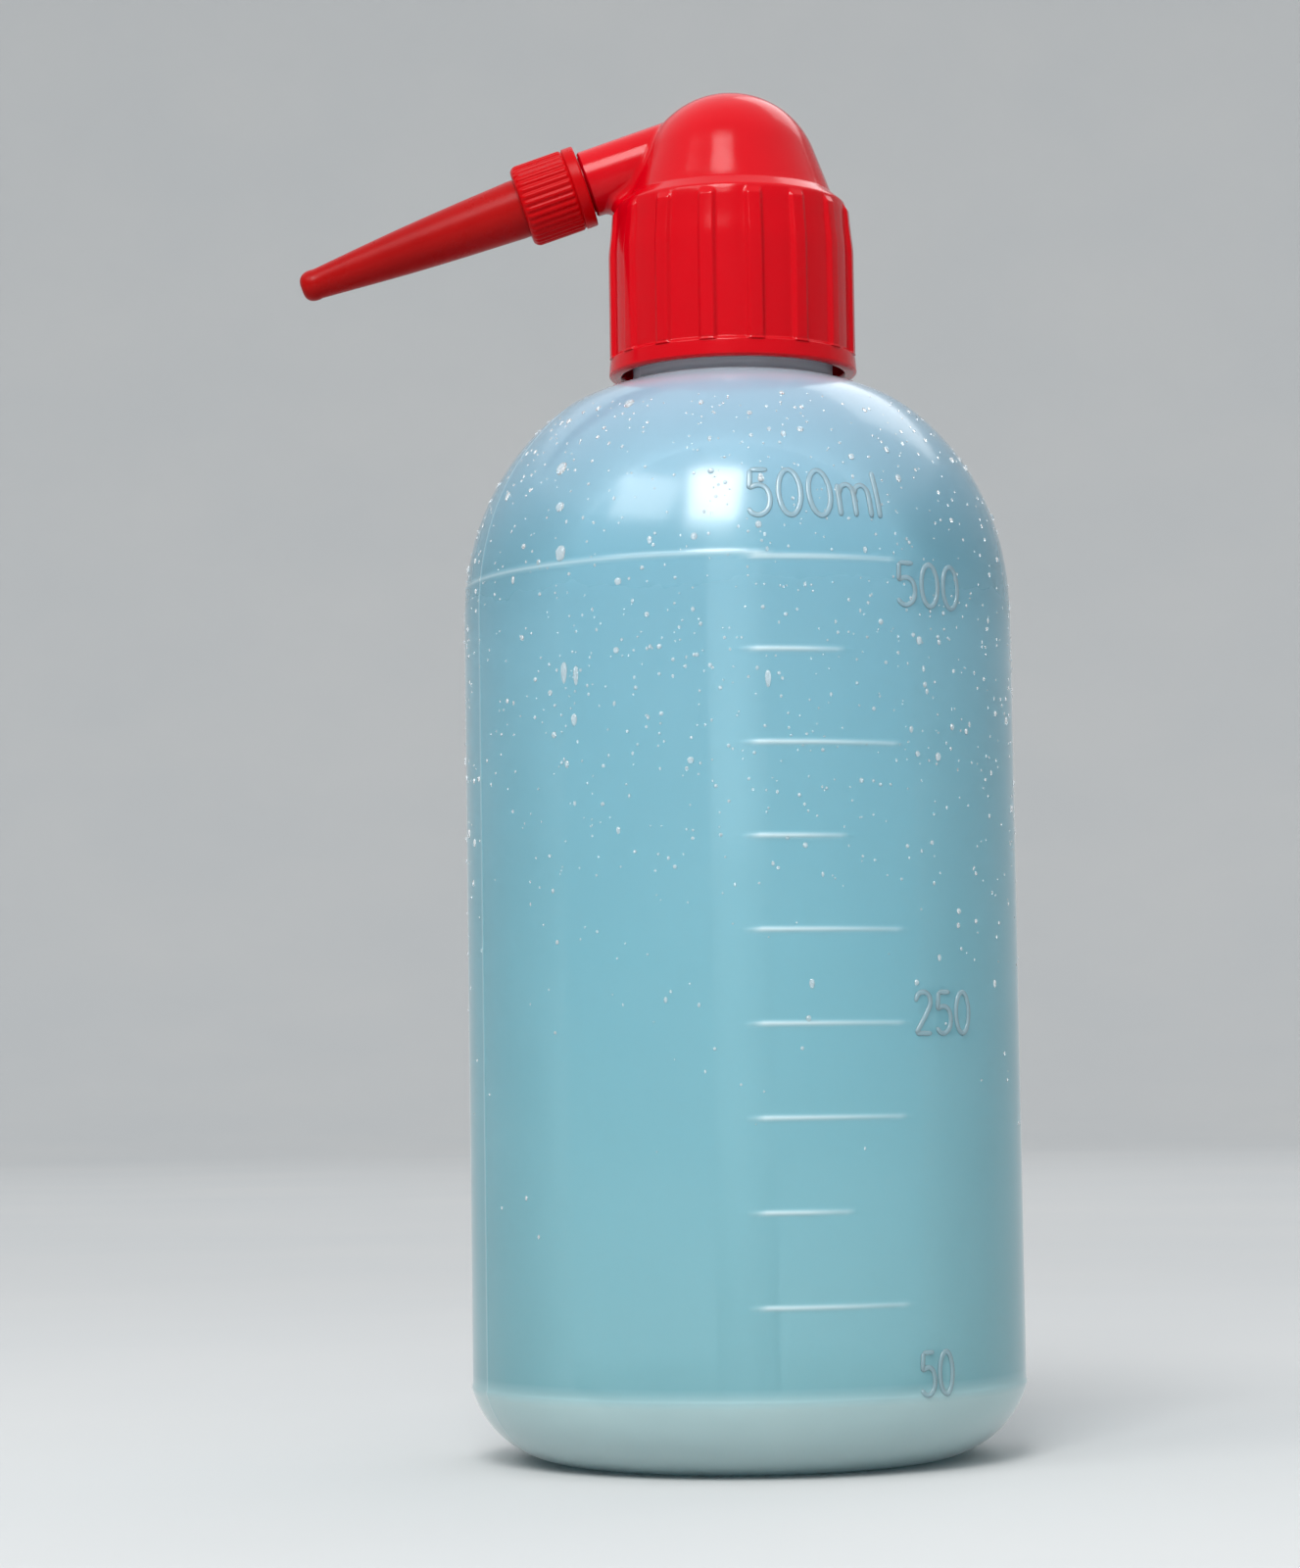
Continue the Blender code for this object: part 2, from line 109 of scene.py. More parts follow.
# Lines where the mould parts
SEAM_AZIMUTHS = (-67.0, 113.0)
SEAM_STAND = 0.09 * MM
SEAM_HALF_ANGLE = 0.35


def smooth_step(low, high, value):
    """0 below low, 1 above high and a smooth rise between them, for numbers or arrays."""
    share = np.clip((np.asarray(value, float) - low) / (high - low), 0.0, 1.0)
    return share * share * (3 - 2 * share)


def shares(count, first=1):
    """Even shares of one, from first / count up to 1."""
    return [step / count for step in range(first, count + 1)]


def turns(count):
    """The angles of evenly placed columns round an axis."""
    return [TAU * number / count for number in range(count)]


def between(start, end, count):
    """Even points from start, which is left out, to end."""
    return [
        (start[0] + (end[0] - start[0]) * share, start[1] + (end[1] - start[1]) * share)
        for share in shares(count)
    ]


def bend(start, corner, end, places):
    """Points of the curve that leaves start towards corner and comes to end from it."""
    start, corner, end = map(np.array, (start, corner, end))
    return [
        tuple(((1 - share) ** 2 * start + 2 * share * (1 - share) * corner + share**2 * end).tolist())
        for share in places
    ]


def spaced(values, gap):
    """The values in order, without those closer than the gap to the last one kept."""
    kept = []
    for value in sorted(values):
        if not kept or value - kept[-1] > gap:
            kept.append(value)
    return kept


def to_angle(azimuth):
    """The mathematical angle of an azimuth in degrees."""
    return math.radians(azimuth - 90.0)


def link(item):
    bpy.context.scene.collection.objects.link(item)
    return item


class Shells:
    """Closed shells gathered into one mesh."""

    BAR_SIDES = 12
    BAR_ENDS = (0.35, 0.75, 0.94)

    def __init__(self):
        self.vertices = []
        self.faces = []

    def rings(self, rings, wrap=False):
        """Add rings of vertices and the quads between them; return where the first and last start."""
        offset, columns = len(self.vertices), len(rings[0])
        for ring in rings:
            self.vertices.extend(tuple(map(float, spot)) for spot in ring)
        for row in range(len(rings) if wrap else len(rings) - 1):
            here, above = offset + row * columns, offset + (row + 1) % len(rings) * columns
            for column in range(columns):
                beside = (column + 1) % columns
                self.faces.append((here + column, here + beside, above + beside, above + column))
        return offset, offset + (len(rings) - 1) * columns

    def lid(self, start, columns, flip=False):
        """Close a ring of vertices with one face."""
        face = tuple(range(start, start + columns))
        self.faces.append(face[::-1] if flip else face)

    def fan(self, tip, start, columns, flip=False):
        """Close a ring of vertices with triangles to a tip."""
        top = len(self.vertices)
        self.vertices.append(tuple(tip))
        for column in range(columns):
            edge = (start + column, start + (column + 1) % columns)
            self.faces.append((top, *edge[::-1]) if flip else (top, *edge))

    def turned(self, outline, angles, swell=None, place=None):
        """Turn (radius, height) points about +Z.

        The outline is a loop clear of the axis, or it starts and ends on the axis. Its points
        run so that the body lies on their left when +Z is up and the radius grows to the right.
        swell(radius, height, number, angles) is added to the radius.
        """
        closed = outline[0][0] > 0
        columns = len(angles)
        rings = []
        for number, (radius, height) in enumerate(outline):
            if radius == 0:
                continue
            reach = radius + (swell(radius, height, number, angles) if swell else 0.0)
            ring = np.array([reach * np.cos(angles), reach * np.sin(angles), np.full(columns, height)]).T
            rings.append(place(ring) if place else ring)
        first, last = self.rings(rings, wrap=closed)
        if not closed:
            self.fan((0, 0, outline[0][1]), first, columns, flip=True)
            self.fan((0, 0, outline[-1][1]), last, columns)

    def swept(self, path, across, outward, half_width, half_height, loop):
        """A rounded bar along a path, flat to the surface whose outward directions are given."""
        rings = []
        for number, spot in enumerate(path):
            edge = min(number, len(path) - 1 - number)
            taper = 1.0 if loop or edge >= len(self.BAR_ENDS) else self.BAR_ENDS[edge]
            ring = []
            for turn in turns(self.BAR_SIDES):
                wide = math.copysign(abs(math.cos(turn)) ** 0.6, math.cos(turn)) * half_width * taper
                tall = math.copysign(abs(math.sin(turn)) ** 0.6, math.sin(turn)) * half_height * taper
                ring.append(spot + across[number] * wide + outward[number] * tall)
            rings.append(ring)
        first, last = self.rings(rings, wrap=loop)
        if not loop:
            self.lid(first, self.BAR_SIDES, flip=True)
            self.lid(last, self.BAR_SIDES)

    def finish(self, name, smooth_angle):
        """An object from the shells, smooth apart from its sharp edges."""
        data = bpy.data.meshes.new(name)
        data.from_pydata(self.vertices, [], self.faces)
        data.validate()
        data.update()
        data.shade_smooth()
        data.set_sharp_from_angle(angle=math.radians(smooth_angle))
        return link(bpy.data.objects.new(name, data))


def rounded(points, segments=5):
    """An outline from (radius, height, fillet in millimetres) corners; the ends have no fillet."""
    outline = []
    for number, (radius, height, fillet) in enumerate(points):
        if fillet == 0:
            outline.append((radius, height))
            continue
        corner = np.array((radius, height))
        before = np.array(points[number - 1][:2]) - corner
        after = np.array(points[number + 1][:2]) - corner
        reach = min(fillet * MM, 0.49 * np.linalg.norm(before), 0.49 * np.linalg.norm(after))
        start = corner + before / np.linalg.norm(before) * reach
        end = corner + after / np.linalg.norm(after) * reach
        outline += bend(start, corner, end, shares(segments, 0))
    return outline


def finer(outline, longest, low=-1.0, high=1.0):
    """The same outline with no step longer than longest, between two heights."""
    result = [outline[0]]
    for start, end in zip(outline, outline[1:]):
        inside = min(start[1], end[1]) < high and max(start[1], end[1]) > low
        steps = max(1, math.ceil(math.dist(start, end) / longest)) if inside else 1
        result += between(start, end, steps)
    return result


def helix_bump(height, angles, start, thread):
    """0 to 1: how much of a thread's ridge stands at each angle of a ring at this height."""
    pitch, foot_width, crest_width = thread
    best = np.zeros(len(angles))
    for turn in (0, TAU):
        along = np.mod(angles, TAU) + turn
        offset = np.abs(height - (start + pitch * along / TAU))
        ridge = 1 - smooth_step(crest_width / 2, foot_width / 2, offset)
        run_out = smooth_step(0, TAU / 8, np.minimum(along, TAU * THREAD_TURNS - along))
        best = np.maximum(best, ridge * run_out)
    return best


# Bottle


def shoulder_points(inset, neck_radius, count, bend_count):
    """The shoulder's superellipse and the slope that bends out to the neck's foot."""
    power = 2 / SHOULDER_POWER
    radius = BODY_RADIUS - inset
    last = math.acos(((SHOULDER_END_RADIUS - 0.6 * inset) / radius) ** (1 / power))
    points = []
    for share in shares(count, 0):
        height = SHOULDER_START + (SHOULDER_RISE - inset) * math.sin(last * share) ** power
        points.append((radius * math.cos(last * share) ** power, height))
    corner = (SHOULDER_BEND_RADIUS - 0.4 * inset, SHOULDER_BEND_HEIGHT - inset)
    end = (neck_radius, NECK_FOOT_BOTTOM - inset)
    return points + bend(points[-1], corner, end, shares(bend_count))


def base_curve_points(radius, edge_radius, count):
    """The rounded edge of the base, from the flat disc up to the wall."""
    rise = BASE_CURVE_RADIUS - CREASE_HEIGHT
    centre = CREASE_RADIUS - math.sqrt(BASE_CURVE_RADIUS**2 - rise**2)
    last = -math.acos((edge_radius - centre) / radius)
    points = []
    for share in shares(count, 0):
        angle = -math.pi / 2 + (last + math.pi / 2) * share
        points.append((centre + radius * math.cos(angle), BASE_CURVE_RADIUS + radius * math.sin(angle)))
    return points


def mark_height(number):
    return MARK_START + MARK_STEP * number


def wall_heights():
    """Heights of the straight wall's rings, close together round each mark."""
    heights = list(np.arange(CREASE_HEIGHT + 1.2 * MM, SHOULDER_START, 3.0 * MM))
    for number in range(1, MARK_COUNT - 1):
        for offset in (-0.75, -0.5, -0.3, -0.15, 0.0, 0.15, 0.3, 0.5, 0.75):
            heights.append(mark_height(number) + offset * MM)
    return spaced(heights, 0.1 * MM)


def outer_profile():
    """The bottle's outside from the edge of the base's disc to the neck's rim."""
    profile = base_curve_points(BASE_CURVE_RADIUS, CREASE_RADIUS, 22)
    profile += [(BODY_RADIUS + 0.06 * MM, CREASE_HEIGHT + 0.25 * MM), (BODY_RADIUS, CREASE_HEIGHT + 0.6 * MM)]
    profile += [(BODY_RADIUS, height) for height in wall_heights()]
    profile += shoulder_points(0, NECK_FOOT_RADIUS + 0.5 * MM, 110, 14)
    neck = [
        (NECK_FOOT_RADIUS + 0.5 * MM, NECK_FOOT_BOTTOM, 0),
        (NECK_FOOT_RADIUS, NECK_FOOT_BOTTOM + 0.5 * MM, 0.4),
        (NECK_FOOT_RADIUS, NECK_FOOT_TOP, 0.2),
        (NECK_RADIUS, NECK_FOOT_TOP + 0.3 * MM, 0.2),
        (NECK_RADIUS, NECK_TOP, 0.35),
        (NECK_INNER_RADIUS, NECK_TOP, 0.35),
        (NECK_INNER_RADIUS, NECK_TOP - 2 * MM, 0),
    ]
    low, high = NECK_THREAD_START - 1.2 * MM, NECK_THREAD_START + CAP_PITCH * THREAD_TURNS + 1.2 * MM
    return profile + finer(rounded(neck)[1:], 0.2 * MM, low, high)


OUTER = outer_profile()
# Heights of the outside below the neck's foot, and the radius at each
OUTER_BY_HEIGHT = np.array([point for point in OUTER if point[1] < NECK_FOOT_BOTTOM]).T[::-1]


def bottle_angles():
    """Columns round the bottle: even, with more on the two lines where the mould parts."""
    degrees = list(np.arange(0, 360, 2.0))
    for azimuth in SEAM_AZIMUTHS:
        degrees += [(azimuth - 90 + offset) % 360 for offset in (-0.9, -0.55, -0.3, 0, 0.3, 0.55, 0.9)]
    return np.radians(spaced(degrees, 0.2))


def marks_at(height, azimuths):
    """How far the moulded marks, the mould lines and the crease stand out of the wall."""
    stand = np.zeros(len(azimuths))
    for number in range(1, MARK_COUNT):
        offset = height - mark_height(number)
        if abs(offset) > 1.0 * MM:
            continue
        right = SHORT_MARK_RIGHT if number in SHORT_MARKS else LONG_MARK_RIGHT
        window = smooth_step(MARK_LEFT - 1.5, MARK_LEFT + 0.5, azimuths)
        window = window * (1 - smooth_step(right - 0.5, right + 1.5, azimuths))
        window = window * (1 - 0.45 * smooth_step(MARK_LEFT + 8, right, azimuths))
        stand = stand + MARK_HEIGHT * window * math.exp(-((offset / MARK_HALF_WIDTH) ** 2))
    offset = height - (mark_height(MARK_COUNT - 1) + 0.5 * MM)
    far_side = 1 - smooth_step(4.0, 8.0, azimuths)
    stand = stand + CREASE_STAND * far_side * math.exp(-((offset / CREASE_HALF_WIDTH) ** 2))
    for azimuth in SEAM_AZIMUTHS:
        offset = (azimuths - azimuth + 180) % 360 - 180
        stand = stand + SEAM_STAND * np.exp(-((offset / SEAM_HALF_ANGLE) ** 2))
    return stand


def make_bottle():
    """The blow-moulded bottle with its thread, scale marks and mould lines."""
    inner_radius = BODY_RADIUS - BODY_WALL
    inside = base_curve_points(BASE_CURVE_RADIUS - BASE_THICKNESS, inner_radius, 16)
    inside += [(inner_radius, height) for height in np.arange(16 * MM, SHOULDER_START - MM, 6 * MM)]
    inside += shoulder_points(BODY_WALL, NECK_INNER_RADIUS, 40, 8)
    inside += [(NECK_INNER_RADIUS, NECK_FOOT_TOP), (NECK_INNER_RADIUS, NECK_TOP - 6 * MM)]
    disc = [(0, 0.35 * MM), (6 * MM, 0.35 * MM), (16 * MM, 0.3 * MM), (21 * MM, 0.12 * MM)]
    ceiling = [(18 * MM, BASE_THICKNESS), (8 * MM, BASE_THICKNESS), (0, BASE_THICKNESS)]

    def swell(radius, height, number, angles):
        """What stands out of the outside: the neck's thread, and the wall's marks and lines."""
        if not len(disc) <= number < len(disc) + len(OUTER):
            return 0.0
        if height > NECK_FOOT_TOP and radius > NECK_RADIUS - 0.1 * MM:
            ridge = helix_bump(height, angles, NECK_THREAD_START, CAP_THREAD)
            return (NECK_THREAD_CREST - NECK_RADIUS) * ridge
        if not 2 * MM <= height <= NECK_FOOT_TOP:
            return 0.0
        return marks_at(height, (np.degrees(angles) + 270) % 360 - 180)

    shells = Shells()
    shells.turned(disc + OUTER + inside[::-1] + ceiling, bottle_angles(), swell)
    bottle = shells.finish("bottle_body", 50)
    note_marks(bottle)
    return bottle


def note_marks(bottle):
    """Note on each point how much of a mark stands there and whether it is on the inner skin."""
    spots = np.empty(len(bottle.data.vertices) * 3)
    bottle.data.vertices.foreach_get("co", spots)
    x, y, z = spots.reshape(-1, 3).T
    radii, heights = np.hypot(x, y), np.round(z, 7)
    azimuths = (np.degrees(np.arctan2(y, x)) + 270) % 360 - 180
    outside = np.interp(z, *OUTER_BY_HEIGHT)
    marks = np.zeros(len(z))
    for height in np.unique(heights):
        if 2 * MM < height < NECK_FOOT_BOTTOM:
            here = (heights == height) & (radii > outside - 0.3 * MM)
            marks[here] = marks_at(float(height), azimuths[here]) / MARK_HEIGHT
    middles = outside - 0.5 * MM
    middles[z > NECK_FOOT_BOTTOM - 0.3 * MM] = (NECK_INNER_RADIUS + NECK_RADIUS) / 2
    inner = (radii < middles) & (z > 1.2 * MM)
    for name, values in (("mark", np.clip(marks, 0, 1)), ("inner_skin", inner)):
        noted = bottle.data.attributes.new(name, "FLOAT", "POINT")
        noted.data.foreach_set("value", values.astype(np.float32))


# Numerals

# The outside's points and their distances along it, measured from the shoulder's start.
# Each of the RISING points is above the last; they reach well up the shoulder.
PROFILE = np.array(OUTER)
RISING = slice(0, 160)
LENGTHS = np.concatenate([[0], np.cumsum(np.linalg.norm(np.diff(PROFILE, axis=0), axis=1))])
LENGTHS -= np.interp(SHOULDER_START, PROFILE[RISING, 1], LENGTHS[RISING])


def along_at(height):
    """The distance along the outside at which it reaches a height."""
    return float(np.interp(height, PROFILE[RISING, 1], LENGTHS[RISING]))


def wall_spot(azimuth, along):
    """A point of the outside and the directions right, up and out of it."""
    step = 0.3 * MM
    here, ahead, behind = (
        [float(np.interp(spot, LENGTHS, PROFILE[:, axis])) for axis in (0, 1)]
        for spot in (along, along + step, along - step)
    )
    angle = to_angle(azimuth)
    outward = Vector((math.cos(angle), math.sin(angle), 0))
    upright = Vector((0, 0, 1))
    upward = (outward * (ahead[0] - behind[0]) + upright * (ahead[1] - behind[1])).normalized()
    sideways = Vector((-math.sin(angle), math.cos(angle), 0))
    return outward * here[0] + upright * here[1], sideways, upward, sideways.cross(upward).normalized()


def curve_through(points, loop, step=0.22):
    """Even points along a smooth curve through the given ones, in glyph units."""
    points = [np.array(point, float) for point in points]
    count = len(points)
    result = []
    for span in range(count if loop else count - 1):
        picks = [span + shift for shift in (-1, 0, 1, 2)]
        picks = [pick % count if loop else min(max(pick, 0), count - 1) for pick in picks]
        first, second, third, fourth = (points[pick] for pick in picks)
        pieces = max(1, round(np.linalg.norm(third - second) / step))
        for share in shares(pieces, 0)[:-1]:
            result.append(0.5 * (
                2 * second
                + (third - first) * share
                + (2 * first - 5 * second + 4 * third - fourth) * share**2
                + (3 * second - first - 3 * third + fourth) * share**3
            ))
    return result if loop else result + [points[-1]]


NARROW_ZERO = [(1.2 + 1.15 * math.sin(turn), 2.85 - 2.75 * math.cos(turn)) for turn in turns(16)]
# The width of each character and the points of its strokes, in units of a 5.7 high figure
GLYPHS = {
    "0": (2.4, [NARROW_ZERO]),
    "5": (2.4, [
        [(2.2, 5.6), (0.35, 5.6)],
        [(0.35, 5.6), (0.2, 3.2)],
        [(0.2, 3.2), (0.75, 3.6), (1.4, 3.65), (2.05, 3.1), (2.3, 1.9), (2.0, 0.7), (1.25, 0.1),
         (0.5, 0.25), (0.05, 0.9)],
    ]),
    "2": (2.4, [
        [(0.1, 4.3), (0.45, 5.25), (1.2, 5.6), (1.95, 5.25), (2.25, 4.4), (1.9, 3.2), (0.1, 0.1)],
        [(0.1, 0.1), (2.4, 0.1)],
    ]),
    "m": (3.6, [
        [(0.1, 4.0), (0.1, 0.1)],
        [(0.1, 2.6), (0.45, 3.6), (1.1, 3.95), (1.65, 3.5), (1.8, 2.6), (1.8, 0.1)],
        [(1.8, 2.6), (2.15, 3.6), (2.8, 3.95), (3.35, 3.5), (3.5, 2.6), (3.5, 0.1)],
    ]),
    "l": (0.3, [[(0.15, 5.8), (0.15, 0.1)]]),
}
GLYPH_GAP = 0.75
GLYPH_HEIGHT = 5.7
FIGURE_STAND = 0.24 * MM


def write_figures(shells, text, azimuth, along, height, widening, thickness):
    """Raise a text's strokes from the wall, its lower left corner at an azimuth and distance."""
    scale = height / GLYPH_HEIGHT
    cursor = 0.0
    radius = np.interp(along + height / 2, LENGTHS, PROFILE[:, 0])
    for character in text:
        width, strokes = GLYPHS[character]
        for points in strokes:
            loop = points is NARROW_ZERO
            spots = []
            for across, up in curve_through(points, loop):
                turn = math.degrees((cursor + across) * scale * widening / radius)
                spots.append(wall_spot(azimuth + turn, along + up * scale))
            path, outward = [spot[0] for spot in spots], [spot[3] for spot in spots]
            ahead = path[1:] + (path[:1] if loop else path[-1:])
            behind = (path[-1:] if loop else path[:1]) + path[:-1]
            sideways = [
                out.cross(after - before).normalized()
                for out, after, before in zip(outward, ahead, behind)
            ]
            shells.swept(path, sideways, outward, thickness, FIGURE_STAND, loop)
        cursor += width + GLYPH_GAP


def make_numerals():
    """The raised figures of the volume scale."""
    shells = Shells()
    for text, azimuth, along, height, widening, thickness in (
        ("500", 33.8, along_at(mark_height(9) - 5.9 * MM), 5.7, 1.27, 0.33),
        ("250", 36.2, along_at(mark_height(4) - 1.5 * MM), 5.5, 1.2, 0.33),
        ("50", 36.0, along_at(mark_height(0) + 0.2 * MM), 5.6, 1.0, 0.33),
        ("500ml", 2.6, along_at(mark_height(9)) + 5.4 * MM, 6.7, 1.08, 0.36),
    ):
        write_figures(shells, text, azimuth, along, height * MM, widening, thickness * MM)
    return shells.finish("volume_figures", 60)


# Water on the wall

DROP_COUNT = 1500


def add_drop(shells, azimuth, along, width, stretch, depth):
    """A flattened drop with a closed back that hangs on the wall, if it stays in the CAD's box."""
    spot, sideways, upward, outward = wall_spot(azimuth, along)
    tip = spot + outward * depth
    if max(abs(tip.x), abs(tip.y)) > CREASE_RADIUS:
        return
    columns = 12
    rings = []
    for share in shares(5, 0)[:-1]:
        rise = math.pi / 2 * share
        ring = []
        for turn in turns(columns):
            sag = 1 + 0.25 * (1 - math.sin(turn)) * (stretch - 1)
            ring.append(
                spot
                + sideways * (width * math.cos(rise) * math.cos(turn))
                + upward * (width * stretch * sag * math.cos(rise) * math.sin(turn))
                + outward * (depth * math.sin(rise))
            )
        rings.append(ring)
    first, last = shells.rings(rings)
    shells.lid(first, columns, flip=True)
    shells.fan(tip, last, columns)


def make_drops():
    """Drops of water that cling to the wall, mostly on the shoulder and upper wall in front."""
    draw = random.Random(11)
    shells = Shells()
    shoulder_length = float(LENGTHS[np.argmax(PROFILE[:, 1] > NECK_FOOT_BOTTOM)])
    for _ in range(DROP_COUNT):
        azimuth = draw.gauss(0, 75)
        if draw.random() < 0.42:
            along = draw.uniform(0.0, 0.72) * shoulder_length
        else:
            along = -abs(draw.gauss(0, 1)) * 24 * MM
        width = min(0.1 * MM + draw.expovariate(1 / (0.07 * MM)), 0.45 * MM)
        stretch = 1 + (draw.random() ** 3) * 0.6
        add_drop(shells, azimuth, along, width, stretch, width * 0.7)
    for azimuth, along, width, stretch in (
        (-43, 19, 0.85, 1.15), (-38, 6.5, 0.8, 1.3), (-37, -9, 0.5, 2.2), (-34, -9.5, 0.4, 2.4),
        (-31, 30, 0.7, 1.2), (6, -11, 0.4, 2.2), (-40, 13, 0.7, 1), (-24, 2, 0.5, 1),
    ):
        add_drop(shells, azimuth, along * MM, width * MM, stretch, width * 0.5 * MM)
    return shells.finish("water_drops", 60)


# Cap

CAP_TOP = CAP_HIGH[2]
DOME_RADIUS = 12.5 * MM
DOME_DRAFT = math.radians(22)
DOME_FOOT_RADIUS = 14.1 * MM
DOME_FOOT_HEIGHT = 172.8 * MM
DOME_WALL = 1.8 * MM
DOME_CAVITY_RADIUS = 12.1 * MM
SKIRT_TOP_RADIUS = 15.95 * MM
SKIRT_TOP = 171.3 * MM
SKIRT_RADIUS = 16.55 * MM
SKIRT_INNER_RADIUS = 15.2 * MM
RIM_RADIUS = 17.1 * MM
RIM_BOTTOM = CAP_LOW[2]
BAND_TOP = 150.0 * MM
BAND_RADIUS = 16.9 * MM
SHELF_HEIGHT = RING_HIGH[2] + 0.3 * MM
CAP_THREAD_CREST = 13.8 * MM
RIB_COUNT = 16
RIB_HEIGHT = 0.55 * MM
RIB_HALF_ANGLE = 3.5
RIB_PHASE = 11.25
SOCKET_RADIUS = 6.2 * MM
SOCKET_BOTTOM = 163.0 * MM
TUBE_RADIUS = 4.3 * MM
TUBE_BORE_RADIUS = 3.2 * MM

SPOUT_RADIUS = 4.65 * MM
SPOUT_BORE_RADIUS = 2.4 * MM
SPOUT_CORE_RADIUS = 3.85 * MM
SPOUT_CORE_START = 20.95 * MM
SPOUT_END = 26.6 * MM
SPOUT_THREAD_START = 22.5 * MM
SPOUT_THREAD_CREST = 4.65 * MM
SPOUT_FILLET = 1.3 * MM
SPOUT_COLUMNS = 96

SPOUT_UP = Vector((0, 1, 0)).cross(SPOUT_AXIS).normalized()
SPOUT_SIDE = SPOUT_AXIS.cross(SPOUT_UP).normalized()


def on_spout(points):
    """Carry points from a local frame, +X up and +Z along the spout, to their place."""
    local = np.stack([np.array(SPOUT_UP), np.array(SPOUT_SIDE), np.array(SPOUT_AXIS)])
    return points @ local + np.array(SPOUT_START)


def near_spout(along, reach, turn):
    """The place at a distance along the spout's axis and away from it, at an angle round it."""
    across = SPOUT_UP * math.cos(turn) + SPOUT_SIDE * math.sin(turn)
    return SPOUT_START + SPOUT_AXIS * along + across * reach


def dome_curve(radius, top, foot_radius, foot_height, count):
    """The dome from its top down its straight draft to its foot."""
    last = math.pi / 2 - DOME_DRAFT
    points = [
        (radius * math.sin(last * share), top - radius + radius * math.cos(last * share))
        for share in shares(count)
    ]
    return [(0.0, top)] + points + between(points[-1], (foot_radius, foot_height), 6)


def cap_outline():
    """The cap's half section, from the dome's top round the rim to the cavity's top."""
    outer = dome_curve(DOME_RADIUS, CAP_TOP, DOME_FOOT_RADIUS, DOME_FOOT_HEIGHT, 26)
    skirt = [
        (*outer[-2], 0),
        (DOME_FOOT_RADIUS, DOME_FOOT_HEIGHT, 0.2),
        (SKIRT_TOP_RADIUS, SKIRT_TOP, 0.35),
        (SKIRT_TOP_RADIUS + 0.17 * MM, SKIRT_TOP - 1.3 * MM, 0.3),
        (SKIRT_TOP_RADIUS + 0.3 * MM, SKIRT_TOP - 3.8 * MM, 1.0),
        (SKIRT_RADIUS, SKIRT_TOP - 6.8 * MM, 1.0),
        (SKIRT_RADIUS, BAND_TOP + 0.35 * MM, 0.15),
        (BAND_RADIUS + 0.04 * MM, BAND_TOP, 0.15),
        (RIM_RADIUS, RIM_BOTTOM + 0.25 * MM, 0.1),
        (RIM_RADIUS - 0.3 * MM, RIM_BOTTOM, 0.15),
        (SKIRT_INNER_RADIUS + 0.3 * MM, RIM_BOTTOM, 0.15),
        (SKIRT_INNER_RADIUS, RIM_BOTTOM + 0.6 * MM, 0.2),
        (SKIRT_INNER_RADIUS, SHELF_HEIGHT, 0.2),
        (DOME_CAVITY_RADIUS, SHELF_HEIGHT, 0.2),
        (DOME_CAVITY_RADIUS - 0.1 * MM, SHELF_HEIGHT + 2 * MM, 0),
    ]
    inner = dome_curve(DOME_RADIUS - DOME_WALL, CAP_TOP - DOME_WALL, DOME_CAVITY_RADIUS, DOME_FOOT_HEIGHT, 12)
    skirt = rounded(skirt, 4)[1:]
    return outer[:-1] + finer(skirt, 0.4 * MM, 149 * MM, 171.2 * MM) + inner[-2::-1]


CAP_OUTLINE = cap_outline()
# The outline's points that come before the lowest one and so are on the outside
OUTSIDE_COUNT = next(
    number for number, point in enumerate(CAP_OUTLINE) if point[1] < RIM_BOTTOM + 0.01 * MM
)


def cap_angles():
    """Columns round the cap, close together on the flanks of each rib."""
    left = [-6.6, -5.2, -4.5, -4.1, -3.75, -3.4, -3.05, -2.7, -2.2, -1.1]
    offsets = left + [0.0] + [-offset for offset in left] + [8.6, 10.2, 12.3, 13.9]
    middles = [RIB_PHASE + rib * 360 / RIB_COUNT for rib in range(RIB_COUNT)]
    return np.radians(sorted((middle + offset) % 360 for middle in middles for offset in offsets))


def rib_reach(height):
    """How much of a rib's full height stands at this level of the skirt."""
    low, high = BAND_TOP - 0.05 * MM, BAND_TOP + 0.45 * MM
    levels = (low, high, 164.5 * MM, 167.5 * MM, 170.0 * MM, 170.9 * MM)
    return float(np.interp(height, levels, (0.35, 1.0, 1.0, 0.9, 0.75, 0.0), left=0.0, right=0.0))


def cap_swell(radius, height, number, angles):
    """What stands out of the cap's outline, taken from its end: the ribs and the inside thread."""
    if number >= len(CAP_OUTLINE) - OUTSIDE_COUNT:
        half = 180 / RIB_COUNT
        offsets = (np.degrees(angles) - RIB_PHASE + half) % (2 * half) - half
        ridge = 1 - smooth_step(RIB_HALF_ANGLE - 1.0, RIB_HALF_ANGLE + 1.3, np.abs(offsets))
        return RIB_HEIGHT * rib_reach(height) * ridge
    if abs(radius - SKIRT_INNER_RADIUS) < 0.01 * MM:
        ridge = helix_bump(height, angles, NECK_THREAD_START - CAP_PITCH / 2, CAP_THREAD)
        return (CAP_THREAD_CREST - SKIRT_INNER_RADIUS) * ridge
    return 0.0


